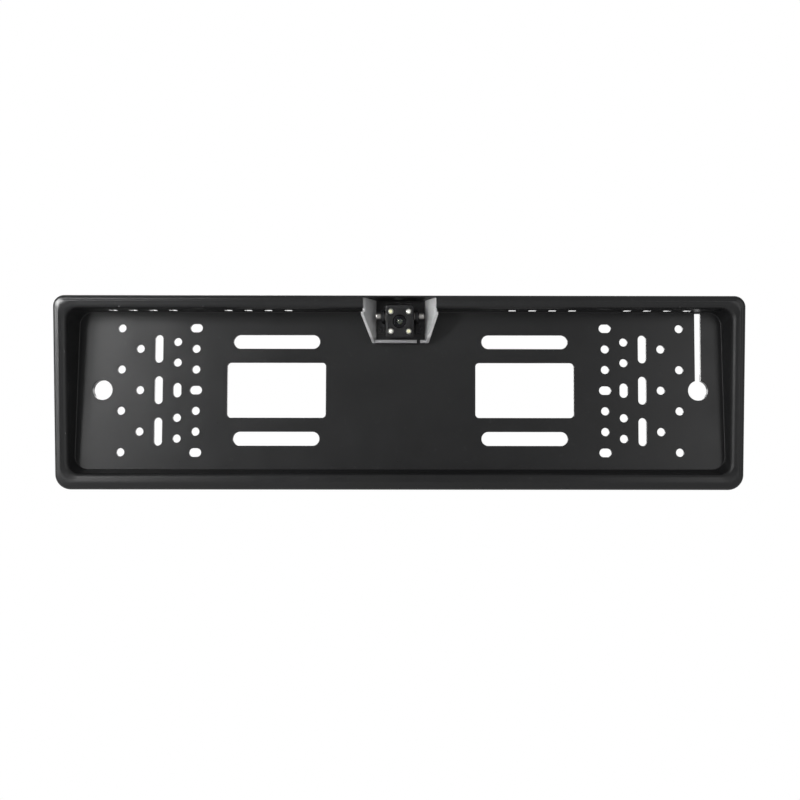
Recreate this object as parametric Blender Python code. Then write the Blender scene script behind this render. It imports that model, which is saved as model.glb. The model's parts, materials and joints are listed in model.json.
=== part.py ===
"""Number plate frame with a built-in reversing camera, for Blender 4.5.

Built in metres from sizes given here in millimetres. +X is to the right seen from the front,
the front faces -Y and +Z is up. The origin is the centre of the back mounting plane, y = 0.
"""

import math

import bmesh
import bpy
from mathutils import Matrix, Vector

MM = 0.001

# Frame
FRAME_W = 545.0
FRAME_H = 153.0
FRAME_R_TOP, FRAME_R_LOW = 9.0, 12.0
RIM_DEPTH = 23.3  # depth of the rim's front face at mid height
RIM_LEAN = 0.08397  # the front face gains this much depth per millimetre of height
RIM_SKIN = 2.6
WALL = 2.4
OPENING = (-261.5, 261.5, -63.2, 66.0)
OPENING_R = 8.0
FLOOR_LOW, FLOOR_HIGH = -60.8, 66.4
FLOOR_HALF_LOW, FLOOR_HALF_HIGH = 261.2, 259.2
FLOOR_R = 11.0
FLOOR_FRONT, FLOOR_BACK = -5.4, -2.4
RIM_EDGE_R = 3.8
LIP_EDGE_R = 3.0
CORNER_STEPS = 6

# Hole pattern, all heights from the pattern's centre line
HOLES_Z = 3.0
ROW = 16.7
HOLE_R = 3.3
SLOT_W = 6.6  # upright slots
BIG_HOLE_X, BIG_HOLE_R, BIG_BOSS_R = 240.0, 8.0, 13.5
KEYHOLE_W = 4.8
WINDOW = (100.0, 79.4, 44.4, 3.0)
WIDE_SLOT = (100.0, 39.1, 69.6, 11.2)
WALL_SLOT_X = (89.5, 105.5, 121.5, 137.5, 181.5, 197.5, 213.5, 229.5)
WALL_SLOT = (6.0, -17.0, -8.0, 66.8)  # width, front and back in the top wall, height of its foot

# Camera pod
POD_HALF_BACK = 19.5
CHEEK_SPLAY = 0.465  # outward travel of a cheek per millimetre forwards
CHEEK_T = 2.1
PANEL_FRONT, PANEL_BACK = -9.2, -7.8
POD_LOW, POD_HIGH = 40.6, 73.7
NOSE_LOW, NOSE_HIGH = 61.4, 63.4  # small step at the top of each cheek's slanted edge
LIP_HIGH = 43.1
SHROUD_SCREW = (14.0, 59.0)
BOSS_SEAT = (4.1, 0.35)  # radius and depth of the dish in the floor that takes a pod boss
BRACKET_SCREW = (16.4, 51.5)

# Camera, in its own axes: the pivot is the origin, the lens looks along -Y
PIVOT = Vector((0.0, -20.3, 61.0))
REST_TILT = math.radians(12.0)
CAM_HALF_W = 11.0
CAM_H = 25.5
CAM_C = -3.55
CAM_FRONT = -8.0
CAM_WALL = 1.2
LED_X, LED_Z, LED_R = 7.05, 7.75, 2.1
LEAD_R = 1.6
LEAD_ROOT = Vector((0.0, 3.6, 5.92))
LEAD_OUT = Vector((0.0, 0.851, 0.525))


def rim_front(z):
    """Depth coordinate of the rim's leaning front face at height z."""
    return -(RIM_DEPTH + RIM_LEAN * z)


def material(name, colour, roughness, metallic=0.0):
    mat = bpy.data.materials.new(name)
    mat.use_nodes = True
    shader = mat.node_tree.nodes["Principled BSDF"]
    shader.inputs["Base Color"].default_value = (*colour, 1.0)
    shader.inputs["Roughness"].default_value = roughness
    shader.inputs["Metallic"].default_value = metallic
    return mat


LOOKS = {
    "frame_abs": ((0.022, 0.022, 0.024), 0.38, 0.0),
    "black_abs": ((0.018, 0.018, 0.020), 0.42, 0.0),
    "silver_paint": ((0.42, 0.42, 0.43), 0.34, 0.6),
    "nickel": ((0.62, 0.61, 0.58), 0.28, 1.0),
    "black_steel": ((0.06, 0.06, 0.065), 0.40, 1.0),
    "rubber": ((0.02, 0.02, 0.02), 0.75, 0.0),
    "cable_pvc": ((0.025, 0.025, 0.025), 0.50, 0.0),
    "led_white": ((0.85, 0.84, 0.72), 0.15, 0.0),
    "glass": ((0.20, 0.24, 0.30), 0.05, 0.0),
    "ir_glass": ((0.45, 0.12, 0.16), 0.08, 0.0),
    "board_green": ((0.02, 0.12, 0.05), 0.45, 0.0),
    "board_white": ((0.70, 0.70, 0.68), 0.45, 0.0),
    "chip_black": ((0.03, 0.03, 0.03), 0.50, 0.0),
    "sensor": ((0.10, 0.08, 0.14), 0.15, 0.3),
    "anodised": ((0.04, 0.04, 0.045), 0.30, 0.8),
    "cream_nylon": ((0.72, 0.68, 0.56), 0.45, 0.0),
    "brass": ((0.70, 0.50, 0.20), 0.25, 1.0),
}


def clear_scene():
    for obj in list(bpy.data.objects):
        bpy.data.objects.remove(obj, do_unlink=True)


def mesh_object(name, points, faces):
    """An object from points in millimetres, with its faces turned outwards."""
    mesh = bpy.data.meshes.new(name)
    bm = bmesh.new()
    verts = [bm.verts.new(Vector(p) * MM) for p in points]
    for face in faces:
        bm.faces.new([verts[i] for i in face])
    bmesh.ops.recalc_face_normals(bm, faces=bm.faces)
    bm.to_mesh(mesh)
    bm.free()
    obj = bpy.data.objects.new(name, mesh)
    bpy.context.scene.collection.objects.link(obj)
    return obj


def loft(name, loops, closed=False):
    """Skin through loops of equal length: capped at both ends, or closed round on itself."""
    n = len(loops[0])
    points = [p for loop in loops for p in loop]
    faces = []
    count = len(loops)
    for a in range(count if closed else count - 1):
        b = (a + 1) % count
        for i in range(n):
            j = (i + 1) % n
            faces.append((a * n + i, a * n + j, b * n + j, b * n + i))
    if not closed:
        faces.append(tuple(range(n)))
        faces.append(tuple((count - 1) * n + i for i in range(n)))
    return mesh_object(name, points, faces)


def circle(cx, cz, r, steps):
    turn = 2 * math.pi / steps
    return [(cx + r * math.cos(turn * i), cz + r * math.sin(turn * i)) for i in range(steps)]


def rounded(x0, x1, z0, z1, r, steps):
    """Rounded rectangle outline, anticlockwise in (x, z)."""
    half = 0.5 * (x1 - x0)
    return trapezoid(0.5 * (x0 + x1), half, half, z0, z1, r, r, steps)


def trapezoid(cx, half_low, half_high, z0, z1, r_low, r_high, steps):
    """Rounded trapezoid outline, anticlockwise in (x, z), with steps segments per corner."""
    corners = (
        (cx + half_high - r_high, z1 - r_high, r_high, 0.0),
        (cx - half_high + r_high, z1 - r_high, r_high, 0.5 * math.pi),
        (cx - half_low + r_low, z0 + r_low, r_low, math.pi),
        (cx + half_low - r_low, z0 + r_low, r_low, 1.5 * math.pi),
    )
    outline = []
    for cx, cz, r, start in corners:
        for i in range(steps + 1):
            angle = start + 0.5 * math.pi * i / steps
            outline.append((cx + r * math.cos(angle), cz + r * math.sin(angle)))
    return outline


def stadium(cx, cz, w, h, steps):
    """Round-ended slot outline."""
    r = 0.5 * min(w, h)
    x, z = 0.5 * w - r, 0.5 * h - r
    outline = []
    for i in range(steps):
        angle = math.pi * (2 * i + 1) / steps
        sx = math.copysign(x, math.cos(angle))
        sz = math.copysign(z, math.sin(angle))
        outline.append((cx + sx + r * math.cos(angle), cz + sz + r * math.sin(angle)))
    return outline


def prism(name, outline, y0, y1):
    """Outline in (x, z) swept along Y."""
    front = [(x, y0, z) for x, z in outline]
    back = [(x, y1, z) for x, z in outline]
    return loft(name, [front, back])


def box(name, x0, x1, y0, y1, z0, z1):
    return prism(name, [(x0, z0), (x1, z0), (x1, z1), (x0, z1)], y0, y1)


def axis_frame(start, end):
    """Two unit vectors across the line from start to end."""
    along = (end - start).normalized()
    side = Vector((1, 0, 0)) if abs(along.x) < 0.9 else Vector((0, 1, 0))
    u = (side - along * side.dot(along)).normalized()
    return u, along.cross(u)


def lathe(name, start, end, profile, steps):
    """Body of revolution: profile rows are (distance from start, radius); radius 0 ends are points."""
    start, end = Vector(start), Vector(end)
    along = (end - start).normalized()
    u, v = axis_frame(start, end)
    points, rings = [], []
    for d, r in profile:
        first = len(points)
        if r <= 0:
            points.append(start + along * d)
            rings.append([first])
            continue
        for i in range(steps):
            angle = 2 * math.pi * i / steps
            points.append(start + along * d + (u * math.cos(angle) + v * math.sin(angle)) * r)
        rings.append(list(range(first, first + steps)))
    faces = []
    for a, b in zip(rings, rings[1:]):
        for i in range(steps):
            j = (i + 1) % steps
            if len(a) == 1:
                faces.append((a[0], b[i], b[j]))
            elif len(b) == 1:
                faces.append((a[i], a[j], b[0]))
            else:
                faces.append((a[i], a[j], b[j], b[i]))
    for ring in (rings[0], rings[-1]):
        if len(ring) > 1:
            faces.append(tuple(ring))
    return mesh_object(name, points, faces)


def ring_lathe(name, start, end, profile, steps):
    """Body of revolution with a hole: the profile is a closed polygon of (distance, radius)."""
    start, end = Vector(start), Vector(end)
    along = (end - start).normalized()
    u, v = axis_frame(start, end)
    loops = []
    for i in range(steps):
        angle = 2 * math.pi * i / steps
        out = u * math.cos(angle) + v * math.sin(angle)
        loops.append([start + along * d + out * r for d, r in profile])
    return loft(name, loops, closed=True)


def tube(name, path, radius, steps):
    """Round cable along a path of points, mitred at each bend."""
    path = [Vector(p) for p in path]
    loops = []
    u = None
    for i, point in enumerate(path):
        before = (point - path[i - 1]).normalized() if i else None
        after = (path[i + 1] - point).normalized() if i + 1 < len(path) else None
        along = ((before or after) + (after or before)).normalized()
        if u is None:
            u, _ = axis_frame(point, point + along)
        u = (u - along * u.dot(along)).normalized()
        v = along.cross(u)
        ring = []
        for k in range(steps):
            angle = 2 * math.pi * k / steps
            ring.append(point + (u * math.cos(angle) + v * math.sin(angle)) * radius)
        loops.append(ring)
    return loft(name, loops)


def join(name, objects):
    """One mesh object from several that don't touch each other."""
    bm = bmesh.new()
    for obj in objects:
        bm.from_mesh(obj.data)
    mesh = bpy.data.meshes.new(name)
    bm.to_mesh(mesh)
    bm.free()
    for obj in objects:
        bpy.data.objects.remove(obj, do_unlink=True)
    joined = bpy.data.objects.new(name, mesh)
    bpy.context.scene.collection.objects.link(joined)
    return joined


def boolean(obj, operation, tools):
    """Cuts or adds the tools, which don't touch each other, and keeps the result as the mesh."""
    tool = tools[0] if len(tools) == 1 else join(obj.name + "_tool", tools)
    modifier = obj.modifiers.new("boolean", "BOOLEAN")
    modifier.operation = operation
    modifier.solver = "EXACT"
    modifier.object = tool
    bpy.context.view_layer.update()
    result = obj.evaluated_get(bpy.context.evaluated_depsgraph_get())
    mesh = bpy.data.meshes.new_from_object(result)
    mesh.name = obj.name
    obj.modifiers.clear()
    obj.data = mesh
    bpy.data.objects.remove(tool, do_unlink=True)
    return obj


def cut(obj, *tools):
    return boolean(obj, "DIFFERENCE", list(tools))


def add(obj, *tools):
    return boolean(obj, "UNION", list(tools))


def finish(obj, look, smooth_deg=35.0):
    """Gives a piece its own material and smooth shading between its sharp edges."""
    colour, roughness, metallic = LOOKS[look]
    obj.data.materials.clear()
    obj.data.materials.append(material("mat_" + obj.name, colour, roughness, metallic))
    for polygon in obj.data.polygons:
        polygon.use_smooth = True
        polygon.material_index = 0
    obj.data.set_sharp_from_angle(angle=math.radians(smooth_deg))
    return obj


# ---------------------------------------------------------------- frame


def frame_loop(inset, depth):
    """Outer outline moved inwards; depth gives y from z."""
    w, h = 0.5 * FRAME_W - inset, 0.5 * FRAME_H - inset
    low, high = FRAME_R_LOW - inset, FRAME_R_TOP - inset
    outline = trapezoid(0.0, w, w, -h, h, low, high, CORNER_STEPS)
    return [(x, depth(z), z) for x, z in outline]


def opening_loop(grow, depth):
    x0, x1, z0, z1 = OPENING
    outline = rounded(x0 - grow, x1 + grow, z0 - grow, z1 + grow, OPENING_R + grow, CORNER_STEPS)
    return [(x, depth(z), z) for x, z in outline]


def floor_loop(grow, depth):
    low, high = FLOOR_HALF_LOW + grow, FLOOR_HALF_HIGH + grow
    z0, z1 = FLOOR_LOW - grow, FLOOR_HIGH + grow
    r = FLOOR_R + grow
    outline = trapezoid(0.0, low, high, z0, z1, r, r, CORNER_STEPS)
    return [(x, depth(z), z) for x, z in outline]


def flat(y):
    return lambda z: y


def leaning(back):
    return lambda z: rim_front(z) + back


def frame_shell():
    """Hollow rim and floor as one skin, from the back of the floor round to its front."""
    loops = [
        floor_loop(0.4, flat(FLOOR_BACK)),
        floor_loop(1.5, flat(FLOOR_BACK)),
        opening_loop(1.9, leaning(RIM_SKIN)),
        frame_loop(WALL + 0.2, leaning(RIM_SKIN)),
        frame_loop(WALL, flat(0.0)),
        frame_loop(0.0, flat(0.0)),
    ]
    for angle in (0, 30, 60, 90):
        a = math.radians(angle)
        inset = RIM_EDGE_R * (1 - math.cos(a))
        loops.append(frame_loop(inset, leaning(RIM_EDGE_R * (1 - math.sin(a)))))
    for angle in (90, 60, 30, 0):
        a = math.radians(angle)
        grow = LIP_EDGE_R * (1 - math.cos(a))
        loops.append(opening_loop(grow, leaning(LIP_EDGE_R * (1 - math.sin(a)))))
    loops.append(floor_loop(0.0, flat(FLOOR_FRONT - 1.2)))
    loops.append(floor_loop(-0.4, flat(FLOOR_FRONT - 0.4)))
    loops.append(floor_loop(-1.2, flat(FLOOR_FRONT)))
    return loft("plate_frame", loops)


def through(outline):
    return prism("cutter", outline, FLOOR_FRONT - 3.0, 1.0)


def side_holes(side):
    """Mounting holes and slots of one end of the frame."""
    rows = []
    for k in (-3, -1, 1, 3):
        rows.append(circle(side * 225.0, HOLES_Z + k * 0.998 * ROW, HOLE_R, 16))
    for k in (-2, 0, 2):
        rows.append(circle(side * 210.0, HOLES_Z + k * ROW, HOLE_R, 16))
        rows.append(stadium(side * 195.0, HOLES_Z + k * ROW, SLOT_W, 22.5, 20))
    for z in (-39.0, -22.3, 22.3, 39.0):
        rows.append(circle(side * 180.0, HOLES_Z + z, HOLE_R, 16))
    rows.append(stadium(side * 180.0, HOLES_Z, SLOT_W, 11.6, 16))
    for k in (-2, -1, 1, 2):
        rows.append(circle(side * 165.0, HOLES_Z + k * ROW, HOLE_R, 16))
    for z in (-50.2, 0.0, 50.2):
        rows.append(stadium(side * 165.0, HOLES_Z + z, 9.8, 6.9, 16))
    rows.append(circle(side * BIG_HOLE_X, HOLES_Z, BIG_HOLE_R, 32))
    return [through(outline) for outline in rows]


def window_holes(side):
    x, w, h, r = WINDOW
    cx = side * x
    holes = [
        through(rounded(cx - w / 2, cx + w / 2, HOLES_Z - h / 2, HOLES_Z + h / 2, r, 4)),
    ]
    x, z, w, h = WIDE_SLOT
    for dz in (-z, z):
        holes.append(through(stadium(side * x, HOLES_Z + dz, w, h, 20)))
    return holes


def wall_slots(side):
    """Openings through the top wall that run out behind the floor's upper edge."""
    width, front, back, foot = WALL_SLOT
    outline = ((front, 63.0), (back, 63.0), (back, foot), (1.0, foot), (1.0, 70.0), (front, 70.0))
    slots = []
    for x in WALL_SLOT_X:
        ends = (side * x - width / 2, side * x + width / 2)
        slots.append(loft("cutter", [[(end, y, z) for y, z in outline] for end in ends]))
    return slots


def back_ribs():
    """Stiffening ribs, spacer pad and bosses behind the floor; all end at or before y = 0."""
    pads = [box("pad", -15, 15, -3.4, 0.0, -8, 8)]
    for side in (-1, 1):
        pads.append(prism("boss", circle(side * BIG_HOLE_X, HOLES_Z, BIG_BOSS_R, 32), -3.4, 0.0))
        x, z = SHROUD_SCREW
        pads.append(prism("boss", circle(side * x, z, 4.6, 16), -3.4, -0.3))
        pads.append(box("rib", side * 49 - 0.8, side * 49 + 0.8, -3.4, -0.5, -60.5, 60.5))
        pads.append(box("rib", side * 151 - 0.8, side * 151 + 0.8, -3.4, -0.5, -60.5, 60.5))
        pads.append(box("rib", side * 62, side * 138, -3.4, -0.5, -55.4, -53.8))
    pads.append(box("rib", -46, 46, -3.4, -0.5, -30.8, -29.2))
    pads.append(box("rib", -46, 46, -3.4, -0.5, 35.2, 36.8))
    return pads


def rim_ribs():
    """Cross ribs inside the hollow rim: full in the bottom and ends, shallow in the top."""
    ribs = []
    for i in range(-3, 4):
        x = 66.0 * i
        ribs.append(box("rib", x - 0.7, x + 0.7, rim_front(-70) + 1.0, -1.0, -75.6, -64.6))
        if i:
            shift = x + 22 * (1 if i > 0 else -1)
            y0 = rim_front(71) + 1.0
            ribs.append(box("rib", shift - 0.7, shift + 0.7, y0, y0 + 9.0, 67.0, 75.6))
    for side in (-1, 1):
        for z in (-32.0, 32.0):
            y0, y1 = rim_front(z) + 1.0, -1.0
            plan = ((262.9, y0), (271.2, y0), (271.2, y1), (261.0, y1))
            ends = [[(side * x, y, z + dz) for x, y in plan] for dz in (-0.7, 0.7)]
            ribs.append(loft("rib", ends))
    return ribs


def cheek_passage():
    """Cutter that lets the splayed cheeks through the rim's inner wall, with a little air."""
    plan = []
    for side, y in ((-1, -7.2), (1, -7.2), (1, -26.3), (-1, -26.3)):
        plan.append((side * (cheek_x(y) + CHEEK_T + 1.3), y))
    return loft("cutter", [[(x, y, z) for x, y in plan] for z in (59.0, 68.6)])


def make_frame():
    frame = frame_shell()
    add(frame, *back_ribs())
    add(frame, *rim_ribs())
    cut(frame, box("cutter", -28.8, 28.8, -45, -25.6, 60.0, 74.2))
    cut(frame, cheek_passage())
    holes = side_holes(-1) + side_holes(1) + window_holes(-1) + window_holes(1)
    cut(frame, *holes)
    cut(frame, *wall_slots(-1), *wall_slots(1))
    half = 0.5 * KEYHOLE_W
    x0, x1 = BIG_HOLE_X - half, BIG_HOLE_X + half
    cut(frame, box("cutter", x0, x1, FLOOR_FRONT - 0.9, 2.0, HOLES_Z + 2, 65.5))
    x, z = SHROUD_SCREW
    cut(frame, *[prism("cutter", circle(s * x, z, 3.1, 16), -3.6, 1.0) for s in (-1, 1)])
    cut(frame, *[prism("cutter", circle(s * x, z, 1.7, 12), -8.0, 0.5) for s in (-1, 1)])
    radius, depth = BOSS_SEAT
    dish = FLOOR_FRONT - 1.0, FLOOR_FRONT + depth
    cut(frame, *[prism("cutter", circle(s * x, z, radius, 24), *dish) for s in (-1, 1)])
    return finish(frame, "frame_abs", 28.0)


# ---------------------------------------------------------------- camera pod


def cheek_x(y):
    """Inner face of a cheek at depth y."""
    return POD_HALF_BACK + CHEEK_SPLAY * (-9.5 - y)


def cheek(side):
    """One splayed side plate, following its outline in (y, z)."""
    outline = (
        (-9.5, POD_LOW),
        (-9.5, POD_HIGH),
        (-25.9, POD_HIGH),
        (-25.9, NOSE_HIGH),
        (-28.2, NOSE_HIGH),
        (-28.2, NOSE_LOW),
        (-11.7, POD_LOW),
    )
    inner = [(side * cheek_x(y), y, z) for y, z in outline]
    outer = [(side * (cheek_x(y) + CHEEK_T), y, z) for y, z in outline]
    return loft("cheek", [inner, outer])


def make_bezel():
    bezel = cheek(-1)
    lip = box("lip", -20.9, 20.9, -11.55, -9.6, POD_LOW + 0.1, LIP_HIGH)
    add(bezel, lip)
    add(bezel, cheek(1))
    cut(bezel, box("cutter", 13.0, 15.8, -13.0, -10.2, POD_LOW - 2, LIP_HIGH + 2))
    bezel.name = "camera_bezel"
    return finish(bezel, "silver_paint")


def make_shroud():
    """Back panel and roof of the pod, with two bosses that sit in the floor's dishes."""
    shroud = box("camera_shroud", -21.4, 21.4, PANEL_FRONT, PANEL_BACK, POD_LOW, 73.8)
    front, back = -27.6, PANEL_FRONT + 0.5
    low = []
    for side, y in ((-1, back), (1, back), (1, front), (-1, front)):
        low.append((side * (cheek_x(y) - 0.7), y, 72.2))
    roof = loft("roof", [low, [(x, y, 73.8) for x, y, z in low]])
    add(shroud, roof)
    x, z = SHROUD_SCREW
    bosses = [prism("boss", circle(s * x, z, 3.4, 16), -8.4, FLOOR_FRONT) for s in (-1, 1)]
    add(shroud, *bosses)
    cut(shroud, box("cutter", -4.0, 6.0, -13.0, -6.0, 66.6, 72.0))
    cut(shroud, *[prism("cutter", circle(s * x, z, 1.6, 12), -12.0, -4.0) for s in (-1, 1)])
    x, z = BRACKET_SCREW
    cut(shroud, *[prism("cutter", circle(s * x, z, 1.1, 12), -12.0, -6.0) for s in (-1, 1)])
    return finish(shroud, "black_abs")


def make_bracket(name, side):
    """L-shaped ear that carries one pivot screw, with its foot on the back panel."""
    py, pz = PIVOT.y, PIVOT.z
    outline = [(-9.5, pz - 5.2), (-9.5, pz + 5.2), (py + 3.0, pz + 4.6)]
    for i in range(7):
        angle = math.radians(90 + 180 * i / 6)
        outline.append((py + 4.4 * math.cos(angle), pz + 4.4 * math.sin(angle)))
    outline.append((py + 3.0, pz - 4.6))
    x0, x1 = side * 12.3, side * 14.5
    ear = loft(name, [[(x0, y, z) for y, z in outline], [(x1, y, z) for y, z in outline]])
    xs = sorted((side * 12.31, side * 19.0))
    add(ear, box("foot", xs[0], xs[1], -10.9, -9.51, 48.6, pz + 5.1))
    hole = lathe("cutter", (side * 11, py, pz), (side * 16, py, pz), [(0, 1.8), (5, 1.8)], 16)
    cut(ear, hole)
    x, z = BRACKET_SCREW
    cut(ear, prism("cutter", circle(side * x, z, 1.35, 12), -13.0, -8.0))
    return finish(ear, "black_steel")


def make_screw(name, head_at, tip, head_h, head_r, shank_r, length, look, recess_r):
    """Cap screw with a hexagonal recess; head_at is the outer end of its head."""
    profile = [(0, head_r - 0.3), (0.3, head_r), (head_h, head_r), (head_h, shank_r)]
    profile += [(length - 0.4, shank_r), (length, shank_r - 0.35)]
    screw = lathe(name, head_at, tip, profile, 16)
    start, end = Vector(head_at), Vector(tip)
    along = (end - start).normalized()
    depth = 0.6 * head_h
    hole = lathe("cutter", start - along, end, [(0, recess_r), (1 + depth, recess_r)], 6)
    cut(screw, hole)
    return finish(screw, look)


# ---------------------------------------------------------------- camera


def make_axis():
    """Empty on the tilt axis, pitched to the rest pose, that carries the whole camera."""
    axis = bpy.data.objects.new("camera_tilt_axis", None)
    axis.matrix_world = Matrix.Translation(PIVOT * MM) @ Matrix.Rotation(REST_TILT, 4, "X")
    bpy.context.scene.collection.objects.link(axis)
    return axis


def section(grow_x, grow_z, y, r=1.6, centre=CAM_C):
    """Rounded outline of the camera body at depth y, in camera axes."""
    half_w, half_h = CAM_HALF_W + grow_x, 0.5 * CAM_H + grow_z
    outline = rounded(-half_w, half_w, centre - half_h, centre + half_h, r, 3)
    return [(x, y, z) for x, z in outline]


def make_front_housing():
    loops = [
        section(0, 0, -4.2),
        section(0, 0, CAM_FRONT + 0.7),
        section(-0.7, -0.7, CAM_FRONT, 1.0),
    ]
    housing = loft("camera_front_housing", loops)
    inner = [section(-CAM_WALL, -CAM_WALL, y, 0.8) for y in (-6.4, -3.0)]
    cut(housing, loft("cutter", inner))
    y0, y1 = CAM_FRONT - 2, -5.0
    recess = prism("cutter", circle(0, CAM_C, 5.6, 24), y0, CAM_FRONT + 0.5)
    cut(housing, recess)
    cutters = [prism("cutter", circle(0, CAM_C, 4.85, 24), y0, y1)]
    for sx in (-1, 1):
        for sz in (-1, 1):
            cutters.append(prism("cutter", circle(sx * LED_X, CAM_C + sz * LED_Z, 2.42, 16), y0, y1))
    cut(housing, *cutters)
    return finish(housing, "black_abs")


def make_rear_housing():
    loops = [
        section(0, 0, -3.0),
        section(0, 0, 1.6),
        section(-3.6, -6.4, 5.9, 1.6, CAM_C + 0.2),
    ]
    housing = loft("camera_rear_housing", loops)
    inner = [
        section(-CAM_WALL, -CAM_WALL, -4.0, 0.8),
        section(-CAM_WALL, -CAM_WALL, 1.2, 0.8),
        section(-4.8, -7.6, 4.6, 0.8, CAM_C + 0.2),
    ]
    cut(housing, loft("cutter", inner))
    pins = []
    for side in (-1, 1):
        a, b = (side * 8.5, 0, 0), (side * 12.5, 0, 0)
        pins.append(lathe("cutter", a, b, [(0, 1.75), (4, 1.75)], 16))
    cut(housing, *pins)
    ends = LEAD_ROOT - LEAD_OUT * 3, LEAD_ROOT + LEAD_OUT * 3
    hole = lathe("cutter", *ends, [(0, 2.75), (6, 2.75)], 16)
    cut(housing, hole)
    return finish(housing, "black_abs")


def make_seal():
    seal = loft("housing_seal", [section(-0.25, -0.25, y, 1.4) for y in (-3.9, -3.3)])
    cut(seal, loft("cutter", [section(-1.1, -1.1, y, 0.9) for y in (-5.0, -2.0)]))
    return finish(seal, "rubber")


def make_led(name, sx, sz):
    base = Vector((sx * LED_X, -5.2, CAM_C + sz * LED_Z))
    tip = base + Vector((0, -1, 0))
    profile = [(0, LED_R), (2.4, LED_R), (3.1, LED_R * 0.86), (3.6, LED_R * 0.5), (3.8, 0)]
    return finish(lathe(name, base, tip, profile, 16), "led_white")


def on_lens_axis(y):
    return Vector((0.0, y, CAM_C))


def make_lens():
    """Barrel, ring, elements and O-ring of the lens, all on its axis."""
    a, b = on_lens_axis(-8.5), on_lens_axis(0)
    shape = [(0, 3.5), (0, 4.2), (0.3, 4.5), (7.1, 4.5), (7.1, 1.5), (6.3, 1.5), (6.3, 3.4)]
    barrel = ring_lathe("lens_barrel", a, b, shape, 24)
    ring = ring_lathe("lens_retaining_ring", a, b, [(0.3, 2.6), (0.3, 3.1), (1.0, 3.1), (1.0, 2.3)], 24)
    front = lathe("lens_front_element", a, b, [(0.65, 0), (0.85, 1.1), (1.3, 2.0), (1.3, 3.0), (2.2, 3.0)], 20)
    second = lathe("lens_second_element", a, b, [(2.6, 2.9), (3.6, 2.9), (3.9, 1.6), (4.0, 0)], 16)
    rear = lathe("lens_rear_element", a, b, [(4.4, 0), (4.55, 1.3), (4.9, 2.5), (5.7, 2.5)], 16)
    turn = [math.radians(60 * i) for i in range(6)]
    hoop = [(2.75 + 0.5 * math.cos(t), 5.35 + 0.5 * math.sin(t)) for t in turn]
    o_ring = ring_lathe("lens_o_ring", a, b, hoop, 20)
    finish(barrel, "anodised")
    finish(ring, "anodised")
    finish(front, "glass")
    finish(second, "glass")
    finish(rear, "glass")
    finish(o_ring, "rubber")
    return [barrel, ring, front, second, rear, o_ring]


def make_electronics():
    """Sensor stack, boards and connector inside the camera."""
    c = CAM_C
    holder = box("lens_holder", -6.5, 6.5, -3.0, 0.3, c - 6.5, c + 6.5)
    cut(holder, prism("cutter", circle(0, c, 4.85, 20), -4.0, -1.2))
    cut(holder, box("cutter", -3.6, 3.6, -2.0, 1.0, c - 3.6, c + 3.6))
    ir = box("ir_filter", -2.6, 2.6, -1.0, -0.6, c - 2.6, c + 2.6)
    sensor = box("image_sensor", -2.9, 2.9, -0.25, 0.3, c - 2.7, c + 2.7)
    board = box("main_board", -8.4, 8.4, 0.6, 1.5, c - 6.9, c + 6.9)
    chip = box("video_chip", -3.0, 3.0, 1.8, 2.6, c - 5.0, c + 0.2)
    plug = box("board_connector", -3.6, 3.6, 1.8, 3.6, c + 1.2, c + 3.8)
    leds = prism("led_board", rounded(-9.3, 9.3, c - 10.9, c + 10.9, 1.0, 2), -4.9, -4.2)
    cut(leds, prism("cutter", circle(0, c, 6.2, 20), -6.0, -3.0))
    finish(holder, "chip_black")
    finish(ir, "ir_glass")
    finish(sensor, "sensor")
    finish(board, "board_green")
    finish(chip, "chip_black")
    finish(plug, "cream_nylon")
    finish(leds, "board_white")
    return [holder, ir, sensor, board, chip, plug, leds]


def make_grommet_and_tail():
    """Rubber grommet and the short piece of lead that tilts with the camera."""
    root = LEAD_ROOT
    shape = [(-1.6, 1.9), (-1.6, 2.4), (0.6, 2.4), (1.2, 3.1), (1.7, 3.1), (3.0, 2.4), (3.0, 1.9)]
    grommet = ring_lathe("lead_grommet", root, root + LEAD_OUT, shape, 16)
    tail = tube("camera_lead_tail", [root - LEAD_OUT * 1.2, root + LEAD_OUT * 3.7], LEAD_R, 12)
    finish(grommet, "rubber")
    finish(tail, "cable_pvc")
    return [grommet, tail]


def make_washer(name, side):
    shape = [(0, 1.8), (0, 3.2), (0.7, 3.2), (0.7, 1.8)]
    start = Vector((side * 11.3, 0, 0))
    washer = ring_lathe(name, start, start + Vector((side, 0, 0)), shape, 20)
    return finish(washer, "nickel")


def make_camera():
    parts = [make_front_housing(), make_rear_housing(), make_seal()]
    parts += [
        make_led("led_upper_left", -1, 1),
        make_led("led_upper_right", 1, 1),
        make_led("led_lower_left", -1, -1),
        make_led("led_lower_right", 1, -1),
    ]
    parts += make_lens()
    parts += make_electronics()
    parts += make_grommet_and_tail()
    for name, side in (("left", -1), ("right", 1)):
        parts.append(make_washer("pivot_washer_" + name, side))
        head, tip = (side * 19.2, 0, 0), (side * 9.9, 0, 0)
        parts.append(
            make_screw("pivot_screw_" + name, head, tip, 4.2, 2.3, 1.45, 9.3, "nickel", 1.3)
        )
    axis = make_axis()
    for part in parts:
        part.parent = axis


# ---------------------------------------------------------------- lead and plug

LEAD_Y, LEAD_Z = -5.2, 71.1


def make_lead():
    path = [(1.0, -10.4, 70.0), (1.0, -8.8, 70.1), (1.7, -6.9, 70.4), (3.4, -5.6, 70.8)]
    path += [(6.0, LEAD_Y, LEAD_Z), (60.0, LEAD_Y, LEAD_Z), (120.0, LEAD_Y, LEAD_Z)]
    path += [(180.0, LEAD_Y, LEAD_Z), (203.0, LEAD_Y, LEAD_Z)]
    return finish(tube("camera_lead", path, LEAD_R, 12), "cable_pvc")


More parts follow.
